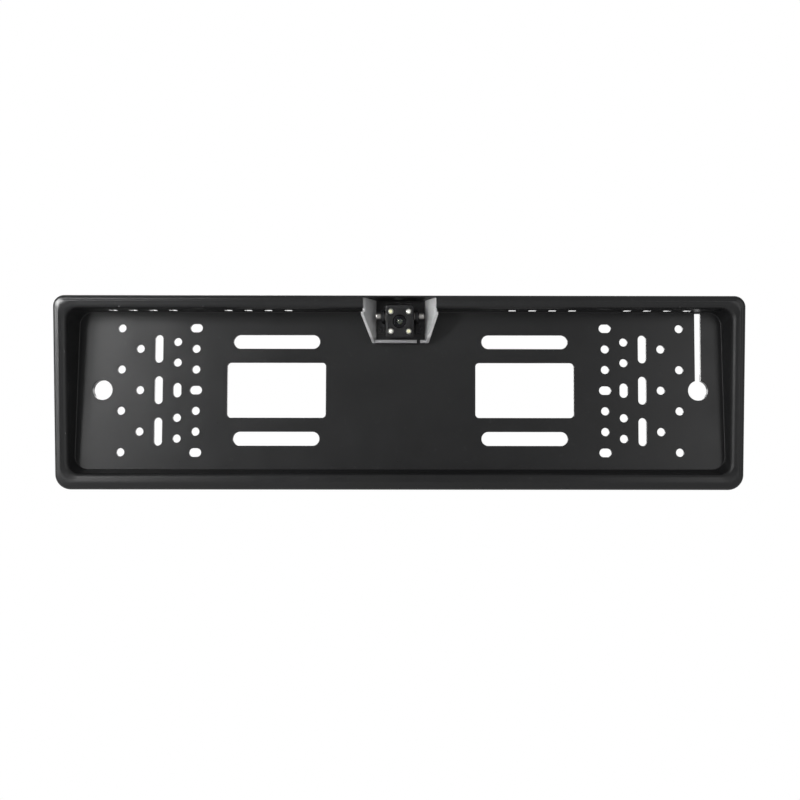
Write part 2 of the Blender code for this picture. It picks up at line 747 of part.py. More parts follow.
def make_clip(name, x):
    clip = box(name, x - 3.5, x + 3.5, -9.4, -2.4, 68.3, 74.0)
    cut(clip, box("cutter", x - 5, x + 5, -7.2, -1.0, LEAD_Z - 1.95, LEAD_Z + 1.95))
    return finish(clip, "cream_nylon")


def make_plug():
    """Four-pin plug at the end of the lead, lying in the hollow top rim."""
    boot = ring_lathe(
        "plug_boot",
        (190.0, LEAD_Y, LEAD_Z),
        (200.0, LEAD_Y, LEAD_Z),
        [(0, 1.95), (0, 2.3), (9.0, 2.85), (9.0, 1.95)],
        12,
    )
    housing = box("plug_housing", 199.5, 222.0, -12.2, -2.3, 68.25, 74.0)
    cut(housing, box("cutter", 206.0, 224.0, -11.4, -3.1, 69.05, 73.2))
    entry = lathe("cutter", (197, LEAD_Y, LEAD_Z), (208, LEAD_Y, LEAD_Z), [(0, 2), (11, 2)], 12)
    cut(housing, entry)
    insert = box("plug_insert", 207.0, 216.0, -11.0, -3.5, 69.4, 72.85)
    ys = [-10.1 + 1.9 * i for i in range(4)]
    holes = []
    for y in ys:
        ends = (205, y, LEAD_Z), (218, y, LEAD_Z)
        holes.append(lathe("cutter", *ends, [(0, 0.8), (13, 0.8)], 8))
    cut(insert, *holes)
    for i, y in enumerate(ys):
        ends = (208, y, LEAD_Z), (221, y, LEAD_Z)
        pin = lathe(f"plug_pin_{i + 1}", *ends, [(0, 0.45), (12.4, 0.45), (12.9, 0.2)], 8)
        finish(pin, "brass")
    finish(boot, "rubber")
    finish(housing, "black_abs")
    finish(insert, "cream_nylon")


def main():
    clear_scene()
    make_frame()
    make_shroud()
    make_bezel()
    for name, side in (("left", -1), ("right", 1)):
        make_bracket("camera_bracket_" + name, side)
        x, z = BRACKET_SCREW
        foot = (side * x, -12.4, z), (side * x, -7.0, z)
        make_screw("bracket_screw_" + name, *foot, 1.2, 1.9, 0.8, 4.6, "black_steel", 0.7)
        x, z = SHROUD_SCREW
        back = (side * x, -0.6, z), (side * x, -9.0, z)
        make_screw("shroud_screw_" + name, *back, 1.4, 2.7, 1.3, 8.3, "nickel", 1.1)
    make_camera()
    make_lead()
    for i, x in enumerate((50.0, 110.0, 170.0)):
        make_clip(f"lead_clip_{i + 1}", x)
    make_plug()


main()
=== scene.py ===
"""Looks for the number plate frame with its built-in reversing camera, for Blender 4.5.

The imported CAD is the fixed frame. Lengths below are in millimetres unless a name says otherwise, and
the mesh helpers turn them into metres. The front faces -Y, +X is right and +Z is up.
"""

import json
import math

import bmesh
import bpy
from mathutils import Matrix, Vector


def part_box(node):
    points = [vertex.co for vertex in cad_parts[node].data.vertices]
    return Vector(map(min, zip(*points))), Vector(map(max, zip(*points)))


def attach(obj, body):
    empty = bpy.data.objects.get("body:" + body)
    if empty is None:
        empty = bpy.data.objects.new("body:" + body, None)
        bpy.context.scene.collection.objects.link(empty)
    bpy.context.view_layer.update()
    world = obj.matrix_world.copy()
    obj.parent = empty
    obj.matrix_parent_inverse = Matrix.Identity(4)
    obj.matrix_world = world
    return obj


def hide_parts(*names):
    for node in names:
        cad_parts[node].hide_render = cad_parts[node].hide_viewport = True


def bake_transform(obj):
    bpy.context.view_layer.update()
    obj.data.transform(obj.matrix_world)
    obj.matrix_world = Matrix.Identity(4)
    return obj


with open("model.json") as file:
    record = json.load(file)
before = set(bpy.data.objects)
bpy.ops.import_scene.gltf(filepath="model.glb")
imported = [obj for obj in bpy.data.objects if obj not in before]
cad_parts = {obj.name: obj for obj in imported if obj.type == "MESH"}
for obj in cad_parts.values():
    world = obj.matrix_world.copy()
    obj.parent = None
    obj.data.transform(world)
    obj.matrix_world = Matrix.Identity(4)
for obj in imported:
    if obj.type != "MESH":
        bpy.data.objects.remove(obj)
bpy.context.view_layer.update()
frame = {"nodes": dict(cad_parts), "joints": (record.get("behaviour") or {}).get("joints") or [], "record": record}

MM = 0.001
BODY = "frame"
CAMERA = "camera"


def box_mm(node):
    low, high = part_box(node)
    return low / MM, high / MM


# Frame sizes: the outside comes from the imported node, the rest are the real part's own
FRAME_LOW, FRAME_HIGH = box_mm("plate_frame")
HALF_W = FRAME_HIGH.x
HALF_H = FRAME_HIGH.z
R_TOP, R_LOW = 9.0, 12.0
RIM_DEPTH, RIM_LEAN, RIM_SKIN = 23.3, 0.08397, 2.6
RIM_CROWN = 0.5
WALL = 2.4
OPENING_HALF_W, OPENING_LOW, OPENING_HIGH, OPENING_R = 261.5, -63.2, 66.0, 8.0
FLOOR_LOW, FLOOR_HIGH = -60.8, 66.4
FLOOR_HALF_LOW, FLOOR_HALF_HIGH, FLOOR_R = 261.2, 259.2, 11.0
FLOOR_FRONT, FLOOR_BACK = -5.4, -2.4
OUTER_ROUND, INNER_ROUND, FOOT_ROUND = 3.8, 4.6, 0.6
CORNER_STEPS = 14
ROUND_STEPS = 7

# Holes, with heights from the pattern's centre line
HOLES_Z = 3.0
ROW = 16.7
HOLE_R = 3.3
SLOT_W = 6.6
BIG_HOLE_X, BIG_HOLE_R, BIG_BOSS_R = 240.0, 8.0, 13.5
KEYHOLE_HALF, KEYHOLE_TOP = 2.4, 65.5
COLUMN_X = (225.0, 210.0, 195.0, 180.0, 165.0)
TALL_SLOT, SHORT_SLOT, LEVEL_SLOT = (SLOT_W, 22.5), (SLOT_W, 11.6), (9.8, 6.9)
WINDOW = (100.0, 79.4, 44.4, 3.0)  # middle, width, height, corner radius
WIDE_SLOT = (100.0, 39.1, 69.6, 11.2)  # middle, distance from the centre line, width, height
LIP = 0.55
BACK_LIP = 0.3
WALL_SLOT_X = (89.5, 105.5, 121.5, 137.5, 181.5, 197.5, 213.5, 229.5)
WALL_SLOT = (6.0, -17.0, -8.0, 66.8)  # width, front and back in the top wall, height of its foot
WALL_SLOT_ROUND = 1.2

# Pod
POD_LOW, POD_HIGH, ROOF_LOW = 40.6, 75.0, 74.7
NOSE_LOW, NOSE_HIGH, LIP_HIGH = 61.4, 63.4, 43.1
POD_HALF_BACK, CHEEK_SPLAY, CHEEK_T = 19.5, 0.465, 2.1
PANEL_FRONT, PANEL_BACK = -9.2, -7.8
NOTCH = (-28.8, 28.8, -45.0, -25.6, 60.0, 74.7)  # gap in the rim in front of the camera
DRAIN = (13.0, 15.8)
SHROUD_SCREW = (14.0, 59.0)
SHROUD_BOSS_R, SHROUD_SEAT_R = 3.4, 4.1
BRACKET_SCREW = (16.4, 51.5)

# Camera, in its own axes about the pivot
TILT_JOINT = next(j for j in frame["joints"] if j["name"] == "camera_tilt")
PIVOT = Vector(TILT_JOINT["pos_m"]) / MM
REST_TILT = math.radians(12.0)
CAM_HALF_W, CAM_HALF_H, CAM_C = 11.0, 12.75, -3.55
CAM_FRONT, CAM_WALL, LENS_START = -8.0, 1.2, -8.5
LED_X, LED_Z, LED_R = 7.05, 7.75, 2.1
LEAD_R = 1.6
LEAD_ROOT = Vector((0.0, 3.6, 5.92))
LEAD_OUT = Vector((0.0, 0.851, 0.525))
LEAD_Y, LEAD_Z = -5.2, 71.1
LEAD_JOIN = Vector((6.0, LEAD_Y, LEAD_Z))
LEAD_END_X = 203.0
TO_CAMERA = Matrix.Translation(PIVOT) @ Matrix.Rotation(REST_TILT, 4, "X")


# ---------------------------------------------------------------- mesh helpers


def rim_front(z):
    return -(RIM_DEPTH + RIM_LEAN * z)


def placed(name, data):
    obj = bpy.data.objects.new(name, data)
    bpy.context.scene.collection.objects.link(obj)
    return obj


def mesh_object(name, points, faces, matrix=None):
    """Object from points in millimetres, faces turned outwards. matrix moves the points first."""
    mesh = bpy.data.meshes.new(name)
    bm = bmesh.new()
    moved = [(matrix @ Vector(p) if matrix else Vector(p)) * MM for p in points]
    verts = [bm.verts.new(p) for p in moved]
    for face in faces:
        bm.faces.new([verts[i] for i in face])
    bmesh.ops.recalc_face_normals(bm, faces=bm.faces)
    bm.to_mesh(mesh)
    bm.free()
    return placed(name, mesh)


def loft(name, loops, closed=False, matrix=None):
    """Skin through loops of equal length: capped at both ends, or closed round on itself."""
    n, count = len(loops[0]), len(loops)
    points = [p for loop in loops for p in loop]
    faces = []
    for a in range(count if closed else count - 1):
        b = (a + 1) % count
        for i in range(n):
            j = (i + 1) % n
            faces.append((a * n + i, a * n + j, b * n + j, b * n + i))
    if not closed:
        faces.append(tuple(range(n)))
        faces.append(tuple((count - 1) * n + i for i in range(n)))
    return mesh_object(name, points, faces, matrix)


def circle(cx, cz, r, steps):
    turn = 2 * math.pi / steps
    return [(cx + r * math.cos(turn * i), cz + r * math.sin(turn * i)) for i in range(steps)]


def arc(start, end, steps):
    """(cos, sin) at even turns from start to end, in degrees."""
    turns = [math.radians(start + (end - start) * i / steps) for i in range(steps + 1)]
    return [(math.cos(a), math.sin(a)) for a in turns]


def trapezoid(cx, half_low, half_high, z0, z1, r_low, r_high, steps):
    """Rounded trapezoid outline in (x, z), with steps segments per corner."""
    corners = (
        (cx + half_high - r_high, z1 - r_high, r_high, 0.0),
        (cx - half_high + r_high, z1 - r_high, r_high, 0.5 * math.pi),
        (cx - half_low + r_low, z0 + r_low, r_low, math.pi),
        (cx + half_low - r_low, z0 + r_low, r_low, 1.5 * math.pi),
    )
    outline = []
    for x, z, r, start in corners:
        for i in range(steps + 1):
            angle = start + 0.5 * math.pi * i / steps
            outline.append((x + r * math.cos(angle), z + r * math.sin(angle)))
    return outline


def rounded(cx, cz, w, h, r, steps):
    return trapezoid(cx, 0.5 * w, 0.5 * w, cz - 0.5 * h, cz + 0.5 * h, r, r, steps)


def stadium(cx, cz, w, h, steps):
    """Round-ended slot outline."""
    r = 0.5 * min(w, h)
    x, z = 0.5 * w - r, 0.5 * h - r
    outline = []
    for i in range(steps):
        angle = math.pi * (2 * i + 1) / steps
        sx = math.copysign(x, math.cos(angle))
        sz = math.copysign(z, math.sin(angle))
        outline.append((cx + sx + r * math.cos(angle), cz + sz + r * math.sin(angle)))
    return outline


def prism(name, outline, y0, y1, matrix=None):
    return loft(name, [[(x, y, z) for x, z in outline] for y in (y0, y1)], matrix=matrix)


def block(name, x0, x1, y0, y1, z0, z1, matrix=None):
    return prism(name, [(x0, z0), (x1, z0), (x1, z1), (x0, z1)], y0, y1, matrix)


def across(along):
    """Two unit vectors square to a direction and to each other."""
    side = Vector((1, 0, 0)) if abs(along.x) < 0.9 else Vector((0, 1, 0))
    u = (side - along * side.dot(along)).normalized()
    return u, along.cross(u)


def lathe(name, start, along, profile, steps, matrix=None, knurl=None):
    """Body of revolution from rows of (distance, radius). knurl(distance, angle) scales a radius."""
    start, along = Vector(start), Vector(along).normalized()
    u, v = across(along)
    points, rings = [], []
    for d, r in profile:
        first = len(points)
        if r <= 0:
            points.append(start + along * d)
            rings.append([first])
            continue
        for i in range(steps):
            angle = 2 * math.pi * i / steps
            size = r * (knurl(d, angle) if knurl else 1.0)
            points.append(start + along * d + (u * math.cos(angle) + v * math.sin(angle)) * size)
        rings.append(list(range(first, first + steps)))
    faces = []
    for a, b in zip(rings, rings[1:]):
        for i in range(steps):
            j = (i + 1) % steps
            if len(a) == 1:
                faces.append((a[0], b[i], b[j]))
            elif len(b) == 1:
                faces.append((a[i], a[j], b[0]))
            else:
                faces.append((a[i], a[j], b[j], b[i]))
    for ring in (rings[0], rings[-1]):
        if len(ring) > 1:
            faces.append(tuple(ring))
    return mesh_object(name, points, faces, matrix)


def hoop(name, start, along, profile, steps, matrix=None):
    """Body of revolution with a hole, from a closed polygon of (distance, radius)."""
    start, along = Vector(start), Vector(along).normalized()
    u, v = across(along)
    loops = []
    for i in range(steps):
        angle = 2 * math.pi * i / steps
        out = u * math.cos(angle) + v * math.sin(angle)
        loops.append([start + along * d + out * r for d, r in profile])
    return loft(name, loops, closed=True, matrix=matrix)


def repeated(start, end, pitch, rows):
    """Rows of (distance, radius), copied along from start towards end."""
    shape, d = [], start
    while (end - d) * pitch > 0:
        shape += [(d + step, r) for step, r in rows]
        d += pitch
    return shape


def smooth_path(points, per_span):
    """Catmull-Rom curve through the points."""
    pts = [Vector(p) for p in points]
    pts = [pts[0] * 2 - pts[1]] + pts + [pts[-1] * 2 - pts[-2]]
    path = []
    for i in range(1, len(pts) - 2):
        a, b, c, d = pts[i - 1 : i + 3]
        for k in range(per_span):
            t = k / per_span
            square, cube = 2 * a - 5 * b + 4 * c - d, 3 * b - a - 3 * c + d
            path.append(0.5 * (2 * b + (c - a) * t + square * t * t + cube * t ** 3))
    path.append(pts[-2])
    return path


def tube(name, path, radius, steps):
    """Round cable along a path of points; radius can be a function of the share of the path."""
    loops, u = [], None
    last = len(path) - 1
    for i, point in enumerate(path):
        along = (path[min(i + 1, last)] - path[max(i - 1, 0)]).normalized()
        if u is None:
            u, _ = across(along)
        u = (u - along * u.dot(along)).normalized()
        v = along.cross(u)
        r = radius(i / last) if callable(radius) else radius
        ring = []
        for k in range(steps):
            angle = 2 * math.pi * k / steps
            ring.append(point + (u * math.cos(angle) + v * math.sin(angle)) * r)
        loops.append(ring)
    return loft(name, loops)


def join(name, objects):
    """One mesh object from several that don't touch each other."""
    bm = bmesh.new()
    for obj in objects:
        bm.from_mesh(obj.data)
    mesh = bpy.data.meshes.new(name)
    bm.to_mesh(mesh)
    bm.free()
    for obj in objects:
        bpy.data.objects.remove(obj, do_unlink=True)
    return placed(name, mesh)


def keep_evaluated(obj):
    """Applies the object's modifiers."""
    bpy.context.view_layer.update()
    result = obj.evaluated_get(bpy.context.evaluated_depsgraph_get())
    mesh = bpy.data.meshes.new_from_object(result)
    obj.modifiers.clear()
    obj.data = mesh
    return obj


def boolean(obj, operation, tools):
    tool = tools[0] if len(tools) == 1 else join(obj.name + "_tool", tools)
    modifier = obj.modifiers.new("boolean", "BOOLEAN")
    modifier.operation = operation
    modifier.solver = "EXACT"
    modifier.object = tool
    keep_evaluated(obj)
    bpy.data.objects.remove(tool, do_unlink=True)
    return obj


def cut(obj, *tools):
    return boolean(obj, "DIFFERENCE", list(tools))


def add(obj, *tools):
    return boolean(obj, "UNION", list(tools))


def soften(obj, width):
    """Rounds the sharp edges of a piece."""
    modifier = obj.modifiers.new("soften", "BEVEL")
    modifier.width = width * MM
    modifier.segments = 3
    modifier.limit_method = "ANGLE"
    modifier.angle_limit = math.radians(30.0)
    modifier.use_clamp_overlap = True
    return keep_evaluated(obj)


def shade(obj, angle=35.0):
    """Smooth shading that keeps flat faces flat and sharp edges sharp."""
    for polygon in obj.data.polygons:
        polygon.use_smooth = True
    obj.data.set_sharp_from_angle(angle=math.radians(angle))
    modifier = obj.modifiers.new("normals", "WEIGHTED_NORMAL")
    modifier.keep_sharp = True
    modifier.weight = 60
    return obj


def piece(obj, body, slot, *nodes, look=None, angle=35.0):
    """Finishes a piece: shading, its slot's look or its own, body and the CAD nodes it replaces."""
    shade(obj, angle)
    obj.data.materials.clear()
    obj.data.materials.append(look or LOOKS[slot])
    for polygon in obj.data.polygons:
        polygon.material_index = 0
    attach(obj, body)
    if nodes:
        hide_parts(*nodes)
    return obj


# ---------------------------------------------------------------- materials


class Look:
    """A material's node tree around one Principled shader, patterned in the object's own axes."""

    def __init__(self, name, **values):
        self.mat = bpy.data.materials.new(name)
        self.mat.use_nodes = True
        self.nodes = self.mat.node_tree.nodes
        self.links = self.mat.node_tree.links
        self.main = self.nodes["Principled BSDF"]
        self.place = self.nodes.new("ShaderNodeTexCoord").outputs["Object"]
        self.use(**values)

    def wire(self, source, target):
        if isinstance(source, bpy.types.NodeSocket):
            self.links.new(source, target)
        else:
            target.default_value = source

    def node(self, kind, **sockets):
        """New node with its inputs wired or set; an underscore stands for a space."""
        made = self.nodes.new("ShaderNode" + kind)
        for key, value in sockets.items():
            self.wire(value, made.inputs[key.replace("_", " ")])
        return made

    def noise(self, per_metre, detail=3.0, roughness=0.5, stretch=None, distortion=0.0):
        place = self.place
        if stretch:
            place = self.node("Mapping", Vector=place, Scale=stretch).outputs[0]
        return self.node(
            "TexNoise", Vector=place, Scale=per_metre, Detail=detail,
            Roughness=roughness, Distortion=distortion,
        ).outputs[0]

    def cells(self, per_metre, feature="F1"):
        made = self.node("TexVoronoi", Vector=self.place, Scale=per_metre)
        made.feature = feature
        return made.outputs["Distance"]

    def height(self):
        return self.node("SeparateXYZ", Vector=self.place).outputs["Z"]

    def remap(self, value, low, high, to_low, to_high):
        return self.node(
            "MapRange", Value=value, From_Min=low, From_Max=high, To_Min=to_low, To_Max=to_high
        ).outputs[0]

    def vary(self, noise, low, high):
        """Spreads the usual range of a noise from low to high."""
        return self.remap(noise, 0.3, 0.7, low, high)

    def maths(self, operation, a, b):
        node = self.nodes.new("ShaderNodeMath")
        node.operation = operation
        self.wire(a, node.inputs[0])
        self.wire(b, node.inputs[1])
        return node.outputs[0]

    def mix(self, share, a, b):
        """Colour a turning into colour b as share goes from 0 to 1."""
        node = self.nodes.new("ShaderNodeMix")
        node.data_type = "RGBA"
        self.wire(share, node.inputs[0])
        for colour, socket in ((a, node.inputs[6]), (b, node.inputs[7])):
            self.wire(colour if isinstance(colour, bpy.types.NodeSocket) else (*colour, 1.0), socket)
        return node.outputs[2]

    def bump(self, height, strength, depth_mm, under=None):
        made = self.node("Bump", Strength=strength, Distance=depth_mm * MM, Height=height)
        if under:
            self.wire(under, made.inputs["Normal"])
        return made.outputs[0]

    def use(self, **sockets):
        for key, socket in sockets.items():
            self.wire(socket, self.main.inputs[key.replace("_", " ")])
        return self.mat


def moulded_plastic(name, dark, pale, rough_low, rough_high, ior=1.5):
    """Satin moulded ABS: slight flow marks, a fine spark-eroded grain and a little dust."""
    look = Look(name, IOR=ior)
    flow = look.noise(9.0, 2.0, stretch=(0.5, 1.0, 1.6))
    speck = look.noise(900.0, 2.0)
    dust = look.remap(look.noise(160.0, 6.0, 0.75), 0.60, 0.78, 0.0, 1.0)
    body = look.mix(look.remap(flow, 0.35, 0.65, 0.0, 1.0), dark, pale)
    body = look.mix(look.maths("MULTIPLY", dust, 0.16), body, (0.10, 0.10, 0.10))
    rough = look.vary(look.noise(45.0, 4.0, 0.6), rough_low, rough_high)
    rough = look.maths("ADD", rough, look.vary(speck, -0.02, 0.02))
    rough = look.maths("ADD", rough, look.maths("MULTIPLY", dust, 0.12))
    waves = look.bump(look.noise(26.0, 1.0), 0.25, 0.12)
    fine = look.bump(look.noise(2600.0, 2.0, 0.6), 0.10, 0.03, waves)
    return look.use(Base_Color=body, Roughness=rough, Normal=fine)


def silver_paint(name):
    """Silver-grey lacquer with fine flake, with painted shade that darkens it on the lower lip."""
    look = Look(name, Coat_Roughness=0.25, Metallic=0.12)
    cloud = look.vary(look.noise(70.0, 3.0), 0.0, 1.0)
    flake = look.noise(5200.0, 1.0)
    body = look.mix(cloud, (0.60, 0.605, 0.61), (0.68, 0.68, 0.685))
    body = look.mix(look.remap(flake, 0.45, 0.8, 0.0, 0.5), body, (0.80, 0.80, 0.80))
    scuff = look.remap(look.noise(260.0, 5.0, 0.7, stretch=(0.25, 1.0, 1.0)), 0.6, 0.75, 0.0, 1.0)
    body = look.mix(look.maths("MULTIPLY", scuff, 0.18), body, (0.30, 0.30, 0.30))
    # painted shade: film is a mask that darkens the paint below a height just over the lower lip, standing in for
    # the shade on the lip
    film = look.remap(look.height(), (LIP_HIGH + 0.6) * MM, (LIP_HIGH + 2.6) * MM, 1.0, 0.0)
    body = look.mix(film, body, (0.36, 0.36, 0.365))
    rough = look.vary(look.noise(120.0, 4.0), 0.38, 0.50)
    normal = look.bump(flake, 0.08, 0.02)
    return look.use(Base_Color=body, Roughness=rough, Normal=normal, Coat_Weight=0.15)


def plated_metal(name, colour, stain, rough_low, rough_high):
    """Plated or anodised metal with fine turning lines and faint stains."""
    look = Look(name, Metallic=1.0)
    stains = look.remap(look.noise(420.0, 4.0, 0.65), 0.42, 0.7, 0.0, 1.0)
    lines = look.noise(2600.0, 3.0, 0.7, stretch=(3.0, 0.6, 0.6))
    body = look.mix(look.maths("MULTIPLY", stains, 0.5), colour, stain)
    rough = look.vary(lines, rough_low, rough_high)
    rough = look.maths("ADD", rough, look.maths("MULTIPLY", stains, 0.08))
    return look.use(Base_Color=body, Roughness=rough, Normal=look.bump(lines, 0.12, 0.02))


def coated_steel(name):
    """Black coating over pressed steel, rubbed pale in places."""
    look = Look(name, Metallic=0.35)
    rub = look.remap(look.noise(330.0, 6.0, 0.72), 0.60, 0.72, 0.0, 1.0)
    body = look.mix(rub, (0.018, 0.018, 0.020), (0.085, 0.085, 0.088))
    rough = look.vary(look.noise(900.0, 3.0), 0.34, 0.50)
    peel = look.bump(look.noise(1500.0, 2.0), 0.15, 0.03)
    return look.use(Base_Color=body, Roughness=rough, Normal=peel)


def soft_rubber(name):
    look = Look(name)
    bloom = look.remap(look.noise(240.0, 5.0, 0.7), 0.4, 0.75, 0.0, 1.0)
    body = look.mix(bloom, (0.016, 0.016, 0.016), (0.045, 0.045, 0.046))
    rough = look.vary(look.noise(800.0, 3.0), 0.62, 0.82)
    return look.use(Base_Color=body, Roughness=rough, Normal=look.bump(look.noise(3000.0), 0.2, 0.03))


def cable_sheath(name):
    """Extruded PVC: glossier streaks along its length and a few pale rubs."""
    look = Look(name)
    streak = look.noise(500.0, 3.0, 0.6, stretch=(0.06, 1.0, 1.0))
    rub = look.remap(look.noise(120.0, 6.0, 0.75), 0.62, 0.78, 0.0, 0.5)
    body = look.mix(rub, (0.020, 0.020, 0.021), (0.09, 0.09, 0.09))
    rough = look.vary(streak, 0.54, 0.70)
    return look.use(Base_Color=body, Roughness=rough, Normal=look.bump(streak, 0.15, 0.05))


def led_epoxy(name):
    """Clear LED dome, very slightly milky."""
    look = Look(name, IOR=1.53, Subsurface_Radius=(0.002, 0.002, 0.0014))
    haze = look.noise(900.0, 2.0)
    body = look.mix(haze, (0.98, 0.98, 0.94), (0.90, 0.90, 0.84))
    rough = look.vary(haze, 0.03, 0.10)
    return look.use(Base_Color=body, Roughness=rough, Transmission_Weight=0.82)


def led_phosphor(name, warm, pale, glow):
    """The cup and yellow phosphor seen inside an unlit LED, given a painted glow so that they look bright."""
    # painted glow: glow sets an emission strength on a part that is not lit, standing in for the light it catches
    look = Look(name, Roughness=0.55, Emission_Strength=glow)
    grain = look.vary(look.noise(2600.0, 3.0), 0.0, 1.0)
    body = look.mix(grain, warm, pale)
    return look.use(Base_Color=body, Emission_Color=body, Normal=look.bump(grain, 0.3, 0.03))


def coated_glass(name, tint, film_nm):
    """Lens glass with a coloured anti-reflection film that varies a little."""
    look = Look(name, IOR=1.9, Thin_Film_IOR=1.38)
    cloud = look.noise(300.0, 2.0)
    body = look.mix(cloud, tint, (0.97, 0.98, 1.0))
    film = look.vary(cloud, film_nm - 12.0, film_nm + 12.0)
    rough = look.vary(look.noise(1800.0, 2.0), 0.0, 0.03)
    return look.use(
        Base_Color=body, Roughness=rough, Transmission_Weight=1.0, Thin_Film_Thickness=film
    )


def circuit_board(name, mask, trace):
    """Solder mask with raised tracks and tinned pads."""
    look = Look(name)
    tracks = look.remap(look.cells(420.0, "DISTANCE_TO_EDGE"), 0.03, 0.09, 1.0, 0.0)
    pads = look.remap(look.cells(330.0), 0.14, 0.20, 1.0, 0.0)
    body = look.mix(tracks, mask, trace)
    body = look.mix(pads, body, (0.75, 0.72, 0.66))
    rough = look.vary(look.noise(700.0), 0.30, 0.45)
    raised = look.bump(look.maths("MAXIMUM", tracks, pads), 0.4, 0.05)
    metal = look.maths("MULTIPLY", pads, 0.9)
    return look.use(Base_Color=body, Roughness=rough, Metallic=metal, Normal=raised)


def chip_resin(name):
    look = Look(name)
    grain = look.noise(4200.0, 4.0, 0.7)
    body = look.mix(grain, (0.020, 0.020, 0.021), (0.050, 0.050, 0.052))
    rough = look.vary(grain, 0.45, 0.65)
    return look.use(Base_Color=body, Roughness=rough, Normal=look.bump(grain, 0.35, 0.03))


def natural_nylon(name):
    """Cream nylon, slightly translucent, with faint swirls."""
    look = Look(name, Subsurface_Radius=(0.0012, 0.001, 0.0007))
    swirl = look.noise(90.0, 4.0, 0.6, distortion=1.2)
    body = look.mix(swirl, (0.74, 0.69, 0.56), (0.62, 0.57, 0.44))
    rough = look.vary(look.noise(600.0), 0.38, 0.52)
    return look.use(
        Base_Color=body, Roughness=rough, Subsurface_Weight=0.15, Normal=look.bump(swirl, 0.1, 0.05)
    )


def sensor_face(name):
    """Image sensor: a fine iridescent grid under its lid."""
    look = Look(name, Metallic=0.4, IOR=1.5)
    grid = look.cells(5200.0)
    body = look.mix(grid, (0.05, 0.03, 0.09), (0.03, 0.07, 0.09))
    rough = look.remap(grid, 0.0, 0.6, 0.10, 0.22)
    return look.use(Base_Color=body, Roughness=rough, Coat_Weight=0.8)


LOOKS = {
    "frame_abs": moulded_plastic(
        "frame_abs_look", (0.0110, 0.0112, 0.0118), (0.0148, 0.0150, 0.0158), 0.29, 0.37
    ),
    "black_abs": moulded_plastic(
        "black_abs_look", (0.0075, 0.0075, 0.0085), (0.0105, 0.0105, 0.0120), 0.40, 0.52, 1.42
    ),
    "silver_paint": silver_paint("silver_paint_look"),
    # nickel is set darker than bright nickel as painted shade, for the pivot screws that sit in the shade of the
    # pod
    "nickel": plated_metal("nickel_look", (0.50, 0.49, 0.475), (0.36, 0.34, 0.31), 0.28, 0.42),
    "black_steel": coated_steel("black_steel_look"),
    "rubber": soft_rubber("rubber_look"),
    "cable_pvc": cable_sheath("cable_look"),
    "led_white": led_epoxy("led_epoxy_look"),
    "glass": coated_glass("lens_glass_look", (0.80, 0.84, 0.88), 205.0),
    "ir_glass": coated_glass("ir_glass_look", (0.30, 0.14, 0.18), 140.0),
    "board_green": circuit_board("green_board_look", (0.01, 0.09, 0.035), (0.02, 0.15, 0.06)),
    "board_white": circuit_board("white_board_look", (0.68, 0.68, 0.66), (0.55, 0.55, 0.54)),
    "chip_black": chip_resin("chip_look"),
    "sensor": sensor_face("sensor_look"),
    "anodised": plated_metal("anodised_look", (0.030, 0.030, 0.034), (0.05, 0.05, 0.055), 0.26, 0.40),
    "cream_nylon": natural_nylon("nylon_look"),
    "brass": plated_metal("pin_look", (0.83, 0.62, 0.28), (0.62, 0.42, 0.18), 0.16, 0.28),
}
# painted glow: the unlit LED phosphor and cup emit light so that they look bright
WARM_PHOSPHOR = led_phosphor("led_warm_phosphor_look", (0.86, 0.84, 0.46), (0.92, 0.91, 0.66), 0.50)
PALE_PHOSPHOR = led_phosphor("led_pale_phosphor_look", (0.86, 0.86, 0.84), (0.94, 0.94, 0.93), 0.50)
LED_CUP = led_phosphor("led_cup_look", (0.74, 0.74, 0.72), (0.84, 0.84, 0.82), 0.16)


# ---------------------------------------------------------------- frame


def flat(y):
    return lambda z: y


def leaning(back):
    return lambda z: rim_front(z) + back


def outer_loop(inset, depth):
    outline = trapezoid(
        0.0, HALF_W - inset, HALF_W - inset, -HALF_H + inset, HALF_H - inset,
        R_LOW - inset, R_TOP - inset, CORNER_STEPS,
    )
    return [(x, depth(z), z) for x, z in outline]


def opening_loop(grow, depth):
    half, r = OPENING_HALF_W + grow, OPENING_R + grow
    outline = trapezoid(0.0, half, half, OPENING_LOW - grow, OPENING_HIGH + grow, r, r, CORNER_STEPS)
    return [(x, depth(z), z) for x, z in outline]


def floor_loop(grow, depth):
    low, high, r = FLOOR_HALF_LOW + grow, FLOOR_HALF_HIGH + grow, FLOOR_R + grow
    outline = trapezoid(0.0, low, high, FLOOR_LOW - grow, FLOOR_HIGH + grow, r, r, CORNER_STEPS)
    return [(x, depth(z), z) for x, z in outline]


def between(a, b, share, lift):
    """Loop part of the way from a to b, lifted forwards."""
    mixed = []
    for p, q in zip(a, b):
        x, y, z = Vector(p).lerp(Vector(q), share)
        mixed.append((x, y - lift, z))
    return mixed


def quarter(steps):
    """(1 - cos, 1 - sin) pairs over a quarter turn."""
    return [(1 - c, 1 - s) for c, s in arc(0, 90, steps)]


